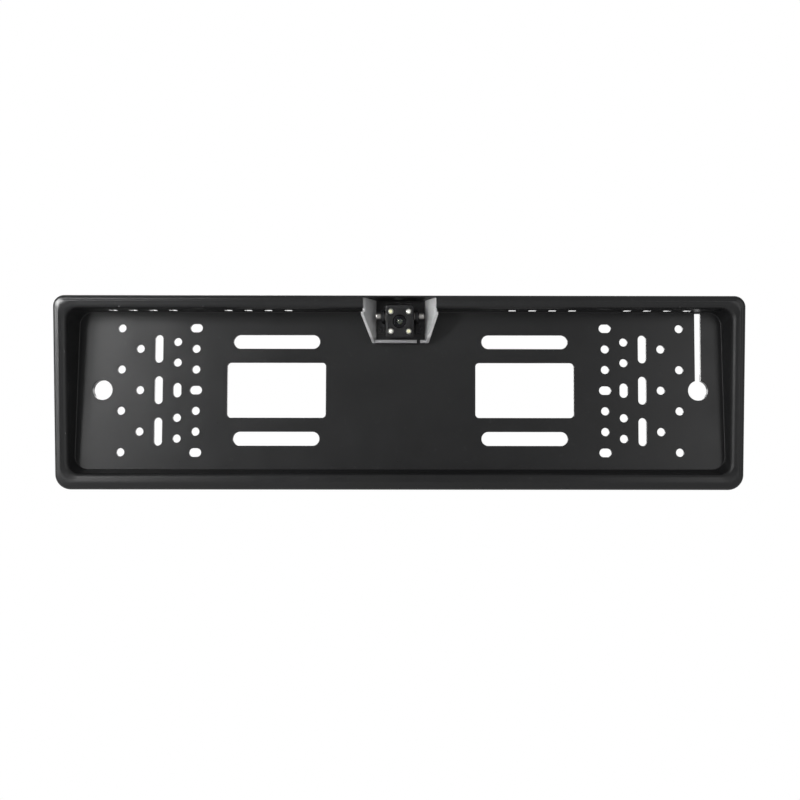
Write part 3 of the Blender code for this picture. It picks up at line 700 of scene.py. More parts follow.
def frame_skin():
    """Floor and hollow rim as one skin, from the back of the floor round to its front."""
    loops = [
        floor_loop(0.4, flat(FLOOR_BACK)),
        floor_loop(1.1, flat(FLOOR_BACK)),
        floor_loop(1.4, flat(FLOOR_BACK - 0.1)),
        floor_loop(1.5, flat(FLOOR_BACK - 0.4)),
        opening_loop(1.9, leaning(RIM_SKIN + 0.9)),
        opening_loop(2.2, leaning(RIM_SKIN + 0.25)),
        opening_loop(2.8, leaning(RIM_SKIN)),
        outer_loop(WALL + 1.1, leaning(RIM_SKIN)),
        outer_loop(WALL + 0.5, leaning(RIM_SKIN + 0.25)),
        outer_loop(WALL + 0.2, leaning(RIM_SKIN + 0.9)),
        outer_loop(WALL, flat(-0.4)),
        outer_loop(WALL - 0.3, flat(0.0)),
        outer_loop(0.35, flat(0.0)),
        outer_loop(0.1, flat(-0.12)),
        outer_loop(0.0, flat(-0.4)),
    ]
    for inset, back in quarter(ROUND_STEPS):
        loops.append(outer_loop(inset * OUTER_ROUND, leaning(back * OUTER_ROUND)))
    inner = [(g * INNER_ROUND, b * INNER_ROUND) for g, b in reversed(quarter(ROUND_STEPS))]
    start, end = loops[-1], opening_loop(inner[0][0], leaning(inner[0][1]))
    for share in (0.2, 0.4, 0.6, 0.8):
        loops.append(between(start, end, share, 4 * RIM_CROWN * share * (1 - share)))
    for grow, back in inner:
        loops.append(opening_loop(grow, leaning(back)))
    for inset, back in quarter(5):
        loops.append(floor_loop(-inset * FOOT_ROUND, flat(FLOOR_FRONT - back * FOOT_ROUND)))
    return loft("plate_frame_shell", loops)


def lipped(outline, back=FLOOR_BACK, lip=LIP):
    """Cutter through the floor whose mouth is rounded on both faces; outline(grow) gives its shape."""
    rows = [(lip * 0.86, FLOOR_FRONT - 2.5)]
    rows += [(lip * (1 - s), FLOOR_FRONT + lip * (1 - c)) for c, s in arc(8, 90, 5)]
    rows += [(BACK_LIP * (1 - s), back - BACK_LIP * (1 - c)) for c, s in arc(90, 8, 3)]
    rows.append((BACK_LIP * 0.86, back + 1.2))
    return loft("cutter", [[(x, y, z) for x, z in outline(grow)] for grow, y in rows])


def round_hole(x, z):
    return lipped(lambda grow: circle(x, HOLES_Z + z, HOLE_R + grow, 36))


def slot_hole(x, z, size, steps=44):
    w, h = size
    return lipped(lambda grow: stadium(x, HOLES_Z + z, w + 2 * grow, h + 2 * grow, steps))


def side_cutters(side):
    """Mounting holes, slots and windows of one end of the frame."""
    x1, x2, x3, x4, x5 = (side * x for x in COLUMN_X)
    tools = [round_hole(x1, 0.998 * k * ROW) for k in (-3, -1, 1, 3)]
    for k in (-2, 0, 2):
        tools += [round_hole(x2, k * ROW), slot_hole(x3, k * ROW, TALL_SLOT)]
    tools += [round_hole(x4, z) for z in (-39.0, -22.3, 22.3, 39.0)]
    tools.append(slot_hole(x4, 0.0, SHORT_SLOT))
    tools += [round_hole(x5, k * ROW) for k in (-2, -1, 1, 2)]
    tools += [slot_hole(x5, z, LEVEL_SLOT) for z in (-50.2, 0.0, 50.2)]
    x, z, *size = WIDE_SLOT
    tools += [slot_hole(side * x, dz, size, 52) for dz in (-z, z)]
    return tools + [lipped(window_outline(side)), lipped(big_hole_outline(side), back=0.0)]


def window_outline(side):
    x, w, h, r = WINDOW
    return lambda grow: rounded(side * x, HOLES_Z, w + 2 * grow, h + 2 * grow, r + grow, 8)


def big_hole_outline(side):
    return lambda grow: circle(side * BIG_HOLE_X, HOLES_Z, BIG_HOLE_R + grow, 64)


def wall_slots(side):
    """Openings through the top wall, rounded in front, that run out behind the floor's upper edge."""
    width, front, back, foot = WALL_SLOT
    slots = []
    for x in WALL_SLOT_X:
        ease = WALL_SLOT_ROUND
        rows = [(front + ease * (1 - c), ease * (1 - s), 63.0) for c, s in arc(0, 90, 5)]
        rows += [(back, 0.0, 63.0), (back + 0.01, 0.0, foot), (1.0, 0.0, foot)]
        loops = []
        for y, inset, low in rows:
            x0, x1 = side * x - width / 2 + inset, side * x + width / 2 - inset
            loops.append([(x0, y, low), (x1, y, low), (x1, y, 70.0), (x0, y, 70.0)])
        slots.append(loft("cutter", loops))
    return slots


def drafted_rib(x0, x1, z0, z1, top):
    """Moulded rib that narrows towards its free edge and is rounded there."""
    rows = [(FLOOR_BACK - 1.0, -0.35), (top - 0.35, 0.0), (top - 0.1, 0.1), (top, 0.35)]
    loops = []
    for y, inset in rows:
        a, b, c, d = x0 + inset, x1 - inset, z0 + inset, z1 - inset
        loops.append([(a, y, c), (b, y, c), (b, y, d), (a, y, d)])
    return loft("rib", loops)


def ring_boss(x, z, r, top):
    rows = [(FLOOR_BACK - 1.0, r), (top - 0.4, r), (top - 0.12, r - 0.12), (top, r - 0.4)]
    return loft("boss", [[(px, y, pz) for px, pz in circle(x, z, rr, 48)] for y, rr in rows])


def back_features():
    """Spacer pad, boss rings and stiffening ribs behind the floor."""
    tools = [drafted_rib(-15, 15, -8, 8, 0.0)]
    for side in (-1, 1):
        tools.append(ring_boss(side * BIG_HOLE_X, HOLES_Z, BIG_BOSS_R, 0.0))
        tools.append(ring_boss(side * SHROUD_SCREW[0], SHROUD_SCREW[1], 4.6, -0.3))
        for x in (49, 151):
            tools.append(drafted_rib(side * x - 0.8, side * x + 0.8, -60.5, 60.5, -0.5))
        x0, x1 = sorted((side * 62, side * 138))
        tools.append(drafted_rib(x0, x1, -55.4, -53.8, -0.5))
    tools.append(drafted_rib(-46, 46, -30.8, -29.2, -0.5))
    tools.append(drafted_rib(-46, 46, 35.2, 36.8, -0.5))
    return tools


def rim_ribs():
    """Cross ribs inside the hollow rim."""
    ribs = []
    for i in range(-3, 4):
        x = 66.0 * i
        ribs.append(block("rib", x - 0.7, x + 0.7, rim_front(-70) + 1.0, -1.0, -75.6, -64.6))
        if i:
            shift = x + math.copysign(22.0, i)
            y0 = rim_front(71) + 1.0
            ribs.append(block("rib", shift - 0.7, shift + 0.7, y0, y0 + 9.0, 67.0, 75.6))
    for side in (-1, 1):
        for z in (-32.0, 32.0):
            y0, y1 = rim_front(z) + 1.0, -1.0
            plan = ((262.9, y0), (271.2, y0), (271.2, y1), (261.0, y1))
            ribs.append(loft("rib", [[(side * x, y, z + dz) for x, y in plan] for dz in (-0.7, 0.7)]))
    return ribs


def ejector_marks():
    """Shallow discs that the mould's ejector pins leave on the back."""
    marks = []
    for side in (-1, 1):
        for x, z in ((30, -48), (30, 50), (56, 3), (145, -10), (145, 20), (250, -40), (250, 45)):
            marks.append(prism("cutter", circle(side * x, z, 2.6, 28), FLOOR_BACK - 0.18, 1.0))
    return marks


def pod_clearance(air, z0, z1):
    """Cutter round the splayed cheeks, between two heights."""
    plan = []
    for side, y in ((-1, -7.2), (1, -7.2), (1, -26.3), (-1, -26.3)):
        plan.append((side * (cheek_x(y) + CHEEK_T + air), y))
    return loft("cutter", [[(x, y, z) for x, y in plan] for z in (z0, z1)])


def cable_slit(grow):
    """Outline of the slot that runs from the large right-hand hole up to the floor's edge."""
    low, high = HOLES_Z + 2.0, KEYHOLE_TOP
    return rounded(BIG_HOLE_X, 0.5 * (low + high), 2 * (KEYHOLE_HALF + grow), high - low, 0.3, 3)


def twin_discs(place, r, steps, y0, y1):
    """The same disc on the left and on the right of the middle."""
    x, z = place
    return [prism("disc", circle(s * x, z, r, steps), y0, y1) for s in (-1, 1)]


def make_frame():
    shell = frame_skin()
    add(shell, *back_features())
    add(shell, *rim_ribs())
    cut(shell, block("cutter", *NOTCH))
    cut(shell, pod_clearance(1.3, 59.0, 68.6))
    cut(shell, pod_clearance(0.4, 73.0, 75.3))
    cut(shell, *side_cutters(-1), *side_cutters(1))
    cut(shell, *wall_slots(-1), *wall_slots(1), *ejector_marks())
    cut(shell, lipped(cable_slit, back=0.0, lip=0.4))
    cut(shell, *twin_discs(SHROUD_SCREW, 3.1, 32, -3.6, 1.0))
    cut(shell, *twin_discs(SHROUD_SCREW, 1.7, 24, -8.0, 0.5))
    cut(shell, *twin_discs(SHROUD_SCREW, SHROUD_SEAT_R, 48, FLOOR_FRONT - 1.0, FLOOR_FRONT + 0.35))
    piece(shell, BODY, "frame_abs", "plate_frame", angle=32.0)


# ---------------------------------------------------------------- pod


def cheek_x(y):
    return POD_HALF_BACK + CHEEK_SPLAY * (-9.5 - y)


def cheek(side):
    outline = (
        (-9.5, POD_LOW), (-9.5, POD_HIGH - 0.1), (-25.9, POD_HIGH - 0.1), (-25.9, NOSE_HIGH),
        (-28.2, NOSE_HIGH), (-28.2, NOSE_LOW), (-11.7, POD_LOW),
    )
    inner = [(side * cheek_x(y), y, z) for y, z in outline]
    outer = [(side * (cheek_x(y) + CHEEK_T), y, z) for y, z in outline]
    return loft("cheek", [inner, outer])


def make_pod_trim():
    trim = cheek(-1)
    trim.name = "pod_trim"
    add(trim, block("lip", -20.9, 20.9, -11.55, -9.6, POD_LOW + 0.1, LIP_HIGH))
    add(trim, cheek(1))
    cut(trim, block("cutter", *DRAIN, -13.0, -9.0, POD_LOW - 2, LIP_HIGH + 2))
    soften(trim, 0.28)
    piece(trim, BODY, "silver_paint", "camera_bezel")


def make_pod_back():
    panel = block("pod_back_panel", -21.4, 21.4, PANEL_FRONT, PANEL_BACK, POD_LOW, POD_HIGH)
    low = []
    for side, y in ((-1, PANEL_FRONT + 0.5), (1, PANEL_FRONT + 0.5), (1, -27.6), (-1, -27.6)):
        low.append((side * (cheek_x(y) - 0.7), y, ROOF_LOW))
    add(panel, loft("roof", [low, [(x, y, POD_HIGH) for x, y, z in low]]))
    add(panel, *twin_discs(SHROUD_SCREW, SHROUD_BOSS_R, 32, -8.4, -5.75))
    for height in (45.6, 48.1):
        cut(panel, block("groove", -9.0, 9.0, -10.0, -8.9, height, height + 0.8))
    cut(panel, block("cutter", -4.0, 6.0, -13.0, -6.0, 66.6, 72.0))
    cut(panel, *twin_discs(SHROUD_SCREW, 1.6, 24, -12.0, -4.0))
    cut(panel, *twin_discs(BRACKET_SCREW, 1.1, 24, -12.0, -6.0))
    soften(panel, 0.22)
    piece(panel, BODY, "black_abs", "camera_shroud")


def make_bracket(name, side):
    """Pressed ear with its foot, carrying one pivot screw."""
    py, pz = PIVOT.y, PIVOT.z
    outline = [(-9.5, pz - 5.2), (-9.5, pz + 5.2), (py + 3.0, pz + 4.6)]
    outline += [(py + 4.4 * c, pz + 4.4 * s) for c, s in arc(90, 270, 18)]
    outline.append((py + 3.0, pz - 4.6))
    ear = loft("bracket_ear_" + name, [[(side * x, y, z) for y, z in outline] for x in (12.3, 14.5)])
    xs = sorted((side * 12.31, side * 19.0))
    add(ear, block("foot", xs[0], xs[1], -10.9, -9.51, 48.6, pz + 5.1))
    cut(ear, lathe("cutter", (side * 11, py, pz), (side, 0, 0), [(0, 1.8), (5, 1.8)], 32))
    bx, bz = BRACKET_SCREW
    cut(ear, prism("cutter", circle(side * bx, bz, 1.35, 24), -13.0, -8.0))
    soften(ear, 0.25)
    piece(ear, BODY, "black_steel", "camera_bracket_" + name)


def make_screw(name, node, body, start, along, head, shank, slot, matrix=None, knurls=0):
    """Cap screw: head is (height, radius, socket radius), shank is (radius, length)."""
    height, r, socket = head
    shank_r, length = shank
    edge = min(0.85, 0.2 * height)

    def knurl(d, angle):
        if not knurls or d < edge * 1.5 or d > height - edge:
            return 1.0
        return 1.0 - 0.030 * (0.5 + 0.5 * math.cos(knurls * angle))

    profile = [(0.0, r - 1.3 * edge), (0.04, r - edge), (0.3 * edge, r - 0.3 * edge), (edge, r)]
    profile += [(1.6 * edge, r), (height - edge, r), (height - 0.4 * edge, r), (height, r - 0.2)]
    profile += [(height, shank_r)]
    thread = [(0.0, shank_r), (0.25, shank_r - 0.16)]
    profile += repeated(height + 0.25, length - 0.8, 0.5, thread)
    profile += [(length - 0.5, shank_r - 0.05), (length, shank_r - 0.4)]
    steps = knurls * 4 if knurls else 40
    screw = lathe(name, start, along, profile, steps, matrix, knurl)
    tip = Vector(start) - Vector(along).normalized()
    hexagon = [(0.0, socket), (1.0 + 0.6 * height, socket), (1.0 + 0.6 * height + 0.35, 0.0)]
    cut(screw, lathe("cutter", tip, along, hexagon, 6, matrix))
    piece(screw, body, slot, node, angle=30.0)


def make_side_screws(name, side):
    """The three screws of one side: ear to pod, pod to frame, and the pivot that clamps the camera."""
    x, z = BRACKET_SCREW
    make_screw(
        "ear_screw_" + name, "bracket_screw_" + name, BODY, (side * x, -12.4, z), (0, 1, 0),
        (1.2, 1.9, 0.7), (0.8, 4.6), "black_steel",
    )
    x, z = SHROUD_SCREW
    make_screw(
        "pod_screw_" + name, "shroud_screw_" + name, BODY, (side * x, -0.6, z), (0, -1, 0),
        (1.4, 2.7, 1.1), (1.3, 8.3), "nickel",
    )
    make_screw(
        "clamp_screw_" + name, "pivot_screw_" + name, name + "_pivot_screw",
        (side * 19.2, 0, 0), (-side, 0, 0), (4.2, 2.5, 1.2), (1.45, 9.3), "nickel",
        TO_CAMERA, knurls=24,
    )


# ---------------------------------------------------------------- camera


def section(grow, y, r=1.7, grow_z=None, shift=0.0):
    """Rounded outline of the camera body at depth y, in camera axes."""
    grow_z = grow if grow_z is None else grow_z
    half_w, half_h = CAM_HALF_W + grow, CAM_HALF_H + grow_z
    c = CAM_C + shift
    outline = trapezoid(0.0, half_w, half_w, c - half_h, c + half_h, r, r, 8)
    return [(x, y, z) for x, z in outline]


def mouth(x, z, r, lip, back, steps=40):
    """Round cutter into the camera's face with a rounded mouth."""
    rows = [(r + 0.86 * lip, CAM_FRONT - 2.0)]
    rows += [(r + lip * (1 - s), CAM_FRONT + lip * (1 - c)) for c, s in arc(8, 90, 4)]
    rows.append((r, back))
    loops = [[(px, y, pz) for px, pz in circle(x, z, rr, steps)] for rr, y in rows]
    return loft("cutter", loops, matrix=TO_CAMERA)


def make_camera_cover():
    """Front half of the camera with its rounded face and openings."""
    rows = ((-CAM_WALL, -6.4, 0.8), (-CAM_WALL, -4.3, 0.8), (-CAM_WALL + 0.1, -4.2, 0.9))
    loops = [section(*row) for row in (*rows, (-0.15, -4.2, 1.6), (0.0, -4.35))]
    for inset, back in quarter(6):
        loops.append(section(-0.5 * inset, CAM_FRONT + 0.26 + 0.5 * back, 1.7 - 0.5 * inset))
    loops.append(section(-1.5, CAM_FRONT + 0.01, 0.7))
    loops.append(section(-1.8, CAM_FRONT, 0.6))
    cover = loft("camera_face_cover", loops, matrix=TO_CAMERA)
    tools = [mouth(0.0, CAM_C, 4.85, 0.9, -5.0, 64)]
    for sx in (-1, 1):
        for sz in (-1, 1):
            tools.append(mouth(sx * LED_X, CAM_C + sz * LED_Z, 2.42, 0.35, -5.0))
    cut(cover, *tools)
    piece(cover, CAMERA, "black_abs", "camera_front_housing", angle=30.0)


def make_camera_case():
    """Rear half of the camera, tapered to the back, open to the front."""
    hollow = (
        (-4.8, 4.6, 0.8, -7.6, 0.2), (-CAM_WALL, 1.2, 0.8), (-CAM_WALL, -2.9, 0.8),
        (-CAM_WALL + 0.1, -3.0, 0.9), (-0.15, -3.0, 1.6),
    )
    outside = ((0.0, -2.85), (0.0, 0.9), (-0.04, 1.3), (-0.25, 1.8))
    loops = [section(*row) for row in hollow + outside]
    for i in range(1, 6):
        t = i / 6
        loops.append(section(-0.25 - 3.1 * t, 1.8 + 3.5 * t, 1.7, -0.25 - 5.7 * t, 0.2 * t))
    for inset, back in quarter(4):
        g = 0.6 * inset
        loops.append(section(-3.5 - g, 5.9 - 0.6 * back, 1.6 - 0.4 * inset, -6.2 - g, 0.2))
    case = loft("camera_rear_case", loops, matrix=TO_CAMERA)
    tools = []
    for side in (-1, 1):
        tools.append(
            lathe("cutter", (side * 8.5, 0, 0), (side, 0, 0), [(0, 1.75), (4, 1.75)], 32, TO_CAMERA)
        )
    start = LEAD_ROOT - LEAD_OUT * 3
    tools.append(lathe("cutter", start, LEAD_OUT, [(0, 2.75), (6, 2.75)], 40, TO_CAMERA))
    cut(case, *tools)
    piece(case, CAMERA, "black_abs", "camera_rear_housing", angle=30.0)


def make_seal():
    half = ((-1.1, -3.9, 0.9), (-0.4, -3.9, 1.3), (-0.25, -3.75, 1.4))
    rows = (*half, (-0.25, -3.45, 1.4), (-0.4, -3.3, 1.3), (-1.1, -3.3, 0.9))
    seal = loft("body_seal", [section(*row) for row in rows], closed=True, matrix=TO_CAMERA)
    piece(seal, CAMERA, "rubber", "housing_seal")


def make_led(name, sx, sz):
    """Domed LED with a reflector cup and phosphor inside."""
    base = Vector((sx * LED_X, -5.2, CAM_C + sz * LED_Z))
    profile = [(0.0, LED_R - 0.15), (0.15, LED_R)]
    profile += [(2.2 + 1.6 * s, LED_R * c) for c, s in arc(0, 90, 8)[:-1]] + [(3.8, 0.0)]
    dome = lathe("led_dome_" + name, base, (0, -1, 0), profile, 40, TO_CAMERA)
    piece(dome, CAMERA, "led_white", "led_" + name, angle=50.0)
    cup = [(0.5, 0.0), (0.5, 0.9), (1.9, 1.2), (1.98, 1.14), (1.0, 0.78), (1.0, 0.0)]
    inner = lathe("led_cup_" + name, base, (0, -1, 0), cup, 32, TO_CAMERA)
    piece(inner, CAMERA, "led_white", look=LED_CUP)
    drop = [(1.06, 0.0), (1.06, 0.72), (1.3, 0.70), (1.5, 0.50), (1.58, 0.0)]
    gel = lathe("led_phosphor_" + name, base, (0, -1, 0), drop, 32, TO_CAMERA)
    piece(gel, CAMERA, "led_white", look=WARM_PHOSPHOR if sx * sz < 0 else PALE_PHOSPHOR)


def lens_point(y):
    return Vector((0.0, y, CAM_C))


def lens_part(maker, name, profile, steps, slot, *nodes, angle=35.0):
    """Turned piece on the lens axis, with distances counted from just before the face."""
    obj = maker(name, lens_point(LENS_START), (0, 1, 0), profile, steps, TO_CAMERA)
    return piece(obj, CAMERA, slot, *nodes, angle=angle)


def make_barrel():
    """Barrel with a ridged throat."""
    shape = [(0.15, 3.45), (0.0, 3.6), (0.0, 4.1), (0.12, 4.35), (0.4, 4.5), (6.9, 4.5), (7.1, 4.3)]
    shape += [(7.1, 1.5), (6.3, 1.5), (6.3, 3.4)]
    shape += repeated(6.0, 2.4, -0.3, [(0.0, 3.42), (-0.15, 3.30)]) + [(1.2, 3.42)]
    lens_part(hoop, "lens_tube", shape, 64, "anodised", "lens_barrel", angle=25.0)


def make_retaining_ring():
    """Ring with two spanner slots."""
    profile = [(0.25, 2.75), (0.3, 3.05), (0.45, 3.1), (1.0, 3.1), (1.0, 2.35), (0.8, 2.3)]
    ring = hoop("lens_ring", lens_point(LENS_START), (0, 1, 0), profile, 64, TO_CAMERA)
    tools = []
    for x in (-2.75, 2.75):
        tools.append(block("cutter", x - 0.55, x + 0.55, -8.6, -8.0, CAM_C - 0.3, CAM_C + 0.3, TO_CAMERA))
    cut(ring, *tools)
    piece(ring, CAMERA, "anodised", "lens_retaining_ring", angle=30.0)


def bowl(at, sag, r):
    """Rows of a curved glass face, from its middle out."""
    return [(at + sag * (i / 8) ** 2, r * i / 8) for i in range(9)]


def make_front_glass():
    glass = [(0.50, 0.0)]
    for i in range(1, 11):
        r = 2.26 * i / 10
        glass.append((0.50 + 4.6 - math.sqrt(4.6 * 4.6 - r * r), r))
    glass += [(1.3, 2.4), (1.3, 3.0), (2.2, 3.0)]
    glass += bowl(1.85, 0.35, 2.6)[-2::-1]
    lens_part(lathe, "lens_front_glass", glass, 48, "glass", "lens_front_element", angle=40.0)


def make_second_glass():
    inner = bowl(2.75, 0.08, 2.5) + [(2.85, 2.9), (3.5, 2.9)] + bowl(4.0, -0.45, 2.5)[::-1]
    lens_part(lathe, "lens_second_glass", inner, 40, "glass", "lens_second_element", angle=40.0)


def make_iris():
    """Black stop between the lens elements."""
    shape = [(4.08, 0.64), (4.14, 2.9), (4.26, 2.9), (4.26, 0.74), (4.16, 0.61)]
    lens_part(hoop, "lens_iris", shape, 48, "anodised")


def make_washer(name, side):
    shape = [(0.0, 1.85), (0.0, 3.0), (0.1, 3.16), (0.25, 3.2), (0.45, 3.2), (0.6, 3.16)]
    shape += [(0.7, 3.0), (0.7, 1.85), (0.6, 1.8), (0.1, 1.8)]
    washer = hoop("washer_" + name, (side * 11.3, 0, 0), (side, 0, 0), shape, 48, TO_CAMERA)
    piece(washer, CAMERA, "nickel", "pivot_washer_" + name)


def make_grommet():
    shape = [(-1.6, 1.75), (-1.6, 2.3), (-1.4, 2.4), (0.5, 2.4), (1.1, 3.0), (1.3, 3.1), (1.6, 3.1)]
    shape += repeated(1.75, 2.9, 0.36, [(0.0, 2.85), (0.18, 2.55)])
    shape += [(3.1, 2.4), (3.2, 2.1), (3.2, 1.75)]
    grommet = hoop("lead_boot", LEAD_ROOT, LEAD_OUT, shape, 40, TO_CAMERA)
    piece(grommet, CAMERA, "rubber", "lead_grommet", angle=28.0)


def make_lead_bend():
    """Free loop of the lead, from the moving camera through the pod into the rim."""
    root = TO_CAMERA @ (LEAD_ROOT - LEAD_OUT * 1.2)
    out = TO_CAMERA @ (LEAD_ROOT + LEAD_OUT * 3.4)
    bend = out.lerp(Vector((1.0, -10.4, 70.0)), 0.5) + Vector((0.0, 0.0, 0.15))
    points = [root, out, bend, (1.0, -10.2, 70.0), (1.3, -8.0, 70.3), (3.0, -5.9, 70.8), LEAD_JOIN]
    loop = tube("camera_lead_bend", smooth_path(points, 7), LEAD_R, 24)
    shade(loop)
    loop.data.materials.append(LOOKS["cable_pvc"])
    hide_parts("camera_lead_tail")
    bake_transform(loop)


def make_lead_run():
    """The lead lying in the hollow top rim, slightly slack between its clips."""
    run = []
    steps = 60
    for i in range(steps + 1):
        x = LEAD_JOIN.x + (LEAD_END_X - LEAD_JOIN.x) * i / steps
        slack = min(1.0, i / 6, (steps - i) / 6)
        y = LEAD_Y + 0.35 * slack * math.sin(x / 9.5)
        run.append(Vector((x, y, LEAD_Z + 0.2 * slack * math.sin(x / 13.0))))
    piece(tube("camera_lead_run", run, LEAD_R, 24), BODY, "cable_pvc", "camera_lead")


def make_clip(index):
    node = f"lead_clip_{index}"
    low, high = box_mm(node)
    clip = block(f"rim_clip_{index}", low.x, high.x, low.y, high.y, low.z, high.z)
    cut(clip, block("cutter", low.x - 1, high.x + 1, -7.2, -1.0, LEAD_Z - 2.0, LEAD_Z + 2.0))
    cut(clip, block("cutter", low.x + 1.6, high.x - 1.6, low.y - 1, low.y + 0.9, low.z + 1.2, high.z - 1.2))
    soften(clip, 0.22)
    piece(clip, BODY, "cream_nylon", node)


def make_plug_shell():
    """Plug shell with grip grooves and room for its insert."""
    low, high = box_mm("plug_housing")
    shell = block("plug_shell", low.x, high.x, low.y, high.y, low.z, high.z)
    cut(shell, block("cutter", 206.0, high.x + 2, low.y + 0.8, high.y - 0.8, low.z + 0.8, high.z - 0.8))
    cut(shell, lathe("cutter", (197, LEAD_Y, LEAD_Z), (1, 0, 0), [(0, 2), (11, 2)], 32))
    grooves = []
    for i in range(5):
        x = low.x + 2.2 + 1.6 * i
        grooves.append(block("cutter", x, x + 0.7, high.y - 0.3, high.y + 1, low.z + 0.9, high.z - 0.9))
    cut(shell, *grooves)
    soften(shell, 0.18)
    piece(shell, BODY, "black_abs", "plug_housing")


def make_plug_boot():
    """Ribbed strain relief behind the plug."""
    low, _ = box_mm("plug_boot")
    shape = [(0.0, 1.9), (0.0, 2.2), (0.3, 2.35)]
    d = 0.9
    while d < 7.0:
        r = 2.35 + 0.06 * d
        shape += [(d, r), (d + 0.35, r), (d + 0.45, r - 0.35), (d + 0.8, r - 0.35)]
        d += 0.95
    shape += [(7.9, 2.8), (9.0, 2.85), (9.0, 1.9)]
    boot = hoop("plug_strain_relief", (low.x, LEAD_Y, LEAD_Z), (1, 0, 0), shape, 40)
    piece(boot, BODY, "rubber", "plug_boot", angle=25.0)


def finish_plain_nodes():
    """Inner pieces keep their CAD shape and get a patterned material and softened edges."""
    slots = {row["node"]: row["material_slot"] for row in frame["record"]["subparts"]}
    for node, obj in frame["nodes"].items():
        if obj.hide_render:
            continue
        look = LOOKS[slots[node]]
        if obj.material_slots:
            for material_slot in obj.material_slots:
                material_slot.material = look
        else:
            obj.data.materials.append(look)
        weld = obj.modifiers.new("weld", "WELD")
        weld.merge_threshold = 1e-6
        low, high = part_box(node)
        size = min(high - low)
        soft = obj.modifiers.new("soften", "BEVEL")
        soft.width = min(0.12 * MM, 0.15 * size)
        soft.segments = 2
        soft.limit_method = "ANGLE"
        soft.angle_limit = math.radians(40.0)


# ---------------------------------------------------------------- stage


def aim(obj, target):
    direction = Vector(target) - obj.location
    obj.rotation_euler = direction.to_track_quat("-Z", "Y").to_euler()


def softbox(name, place, target, width, height, watts, spread=180.0):
    data = bpy.data.lights.new(name, "AREA")
    data.shape = "RECTANGLE"
    data.size = width
    data.size_y = height
    data.energy = watts
    data.spread = math.radians(spread)
    lamp = placed(name, data)
    lamp.location = place
    lamp.visible_camera = False
    aim(lamp, target)


def seen_or_not(tree, hidden, seen, target):
    """Shows one shader to the camera and the other to everything else."""
    path = tree.nodes.new("ShaderNodeLightPath")
    mixed = tree.nodes.new("ShaderNodeMixShader")
    tree.links.new(path.outputs["Is Camera Ray"], mixed.inputs[0])
    tree.links.new(hidden.outputs[0], mixed.inputs[1])
    tree.links.new(seen.outputs[0], mixed.inputs[2])
    tree.links.new(mixed.outputs[0], target)


def make_world():
    """Plain white to the camera, a dim grey room to everything else."""
    world = bpy.data.worlds.new("studio")
    bpy.context.scene.world = world
    world.use_nodes = True
    nodes = world.node_tree.nodes
    nodes.clear()
    seen, room = (nodes.new("ShaderNodeBackground") for _ in range(2))
    for backdrop in (seen, room):
        backdrop.inputs["Color"].default_value = (1.0, 1.0, 1.0, 1.0)
    room.inputs["Strength"].default_value = 0.31
    output = nodes.new("ShaderNodeOutputWorld")
    seen_or_not(world.node_tree, room, seen, output.inputs["Surface"])


def make_floor():
    """Plain pale floor, well below the frame as in a cut-out product picture."""
    mesh = bpy.data.meshes.new("studio_floor")
    s, z = 20.0, -0.34
    mesh.from_pydata([(-s, -s, z), (s, -s, z), (s, s, z), (-s, s, z)], [], [(0, 1, 2, 3)])
    mat = bpy.data.materials.new("pale_floor")
    mat.use_nodes = True
    nodes = mat.node_tree.nodes
    paint = nodes["Principled BSDF"]
    paint.inputs["Base Color"].default_value = (0.86, 0.86, 0.86, 1.0)
    paint.inputs["Roughness"].default_value = 0.9
    glow = nodes.new("ShaderNodeEmission")
    glow.inputs["Strength"].default_value = 1.0
    seen_or_not(mat.node_tree, paint, glow, nodes["Material Output"].inputs["Surface"])
    mesh.materials.append(mat)
    placed("studio_floor", mesh)


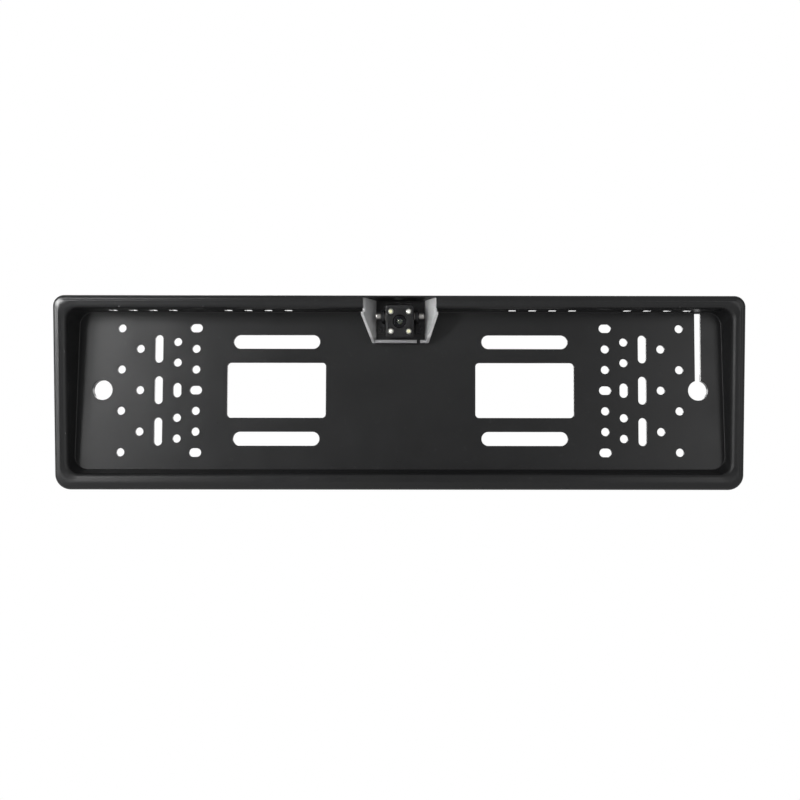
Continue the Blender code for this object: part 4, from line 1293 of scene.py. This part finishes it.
def make_lights():
    """Weak soft boxes in front, stronger on the left, and two behind for the views of the back."""
    softbox("front_left", (-0.90, -1.25, 0.12), (-0.1, 0, 0), 0.25, 0.9, 3.3)
    softbox("front_left_high", (-0.75, -1.25, 0.65), (-0.1, 0, 0), 0.3, 0.3, 1.3)
    softbox("side_left", (-1.45, -0.75, 0.15), (-0.1, 0, 0), 0.4, 0.9, 4.6)
    softbox("front_right", (0.75, -1.30, 0.15), (0.1, 0, 0), 0.3, 0.9, 1.4)
    softbox("side_right", (1.25, -1.10, 0.15), (0.1, 0, 0), 0.4, 0.9, 0.9)
    softbox("pod_left", (-0.40, -0.50, 0.08), (0.022, -0.02, 0.060), 0.06, 0.06, 0.008, 12.0)
    softbox("left_end", (-0.55, -0.30, 0.16), (-0.27, 0, 0.06), 0.16, 0.16, 0.10, 30.0)
    softbox("overhead", (0.0, -0.90, 1.20), (0, 0, 0), 1.4, 0.4, 0.3)
    softbox("behind_left", (-0.50, 1.60, 0.35), (0, 0, 0), 0.5, 0.8, 9.0)
    softbox("behind_right", (0.45, 1.70, 0.30), (0, 0, 0), 0.4, 0.8, 5.0)


def make_camera():
    """Near-frontal view from slightly below and right of centre, with the frame set off the lens axis."""
    data = bpy.data.cameras.new("photo_view")
    data.sensor_width = 36.0
    data.lens = 41.6
    data.shift_x = -0.056
    data.clip_start, data.clip_end = 0.01, 100.0
    camera = placed("photo_view", data)
    camera.location = (0.0332, -0.7492, -0.0409)
    camera.rotation_euler = [math.radians(a) for a in (92.78, -0.06, -0.19)]
    bpy.context.scene.camera = camera


def main():
    bpy.context.scene.view_settings.view_transform = "Standard"
    make_frame()
    make_pod_trim()
    make_pod_back()
    for name, side in (("left", -1), ("right", 1)):
        make_bracket(name, side)
        make_side_screws(name, side)
        make_washer(name, side)
    make_camera_cover()
    make_camera_case()
    make_seal()
    for name, sx, sz in (
        ("upper_left", -1, 1), ("upper_right", 1, 1), ("lower_left", -1, -1), ("lower_right", 1, -1),
    ):
        make_led(name, sx, sz)
    make_barrel()
    make_retaining_ring()
    make_front_glass()
    make_second_glass()
    make_iris()
    make_grommet()
    make_lead_bend()
    make_lead_run()
    for index in (1, 2, 3):
        make_clip(index)
    make_plug_shell()
    make_plug_boot()
    finish_plain_nodes()
    make_world()
    make_floor()
    make_lights()
    make_camera()


main()
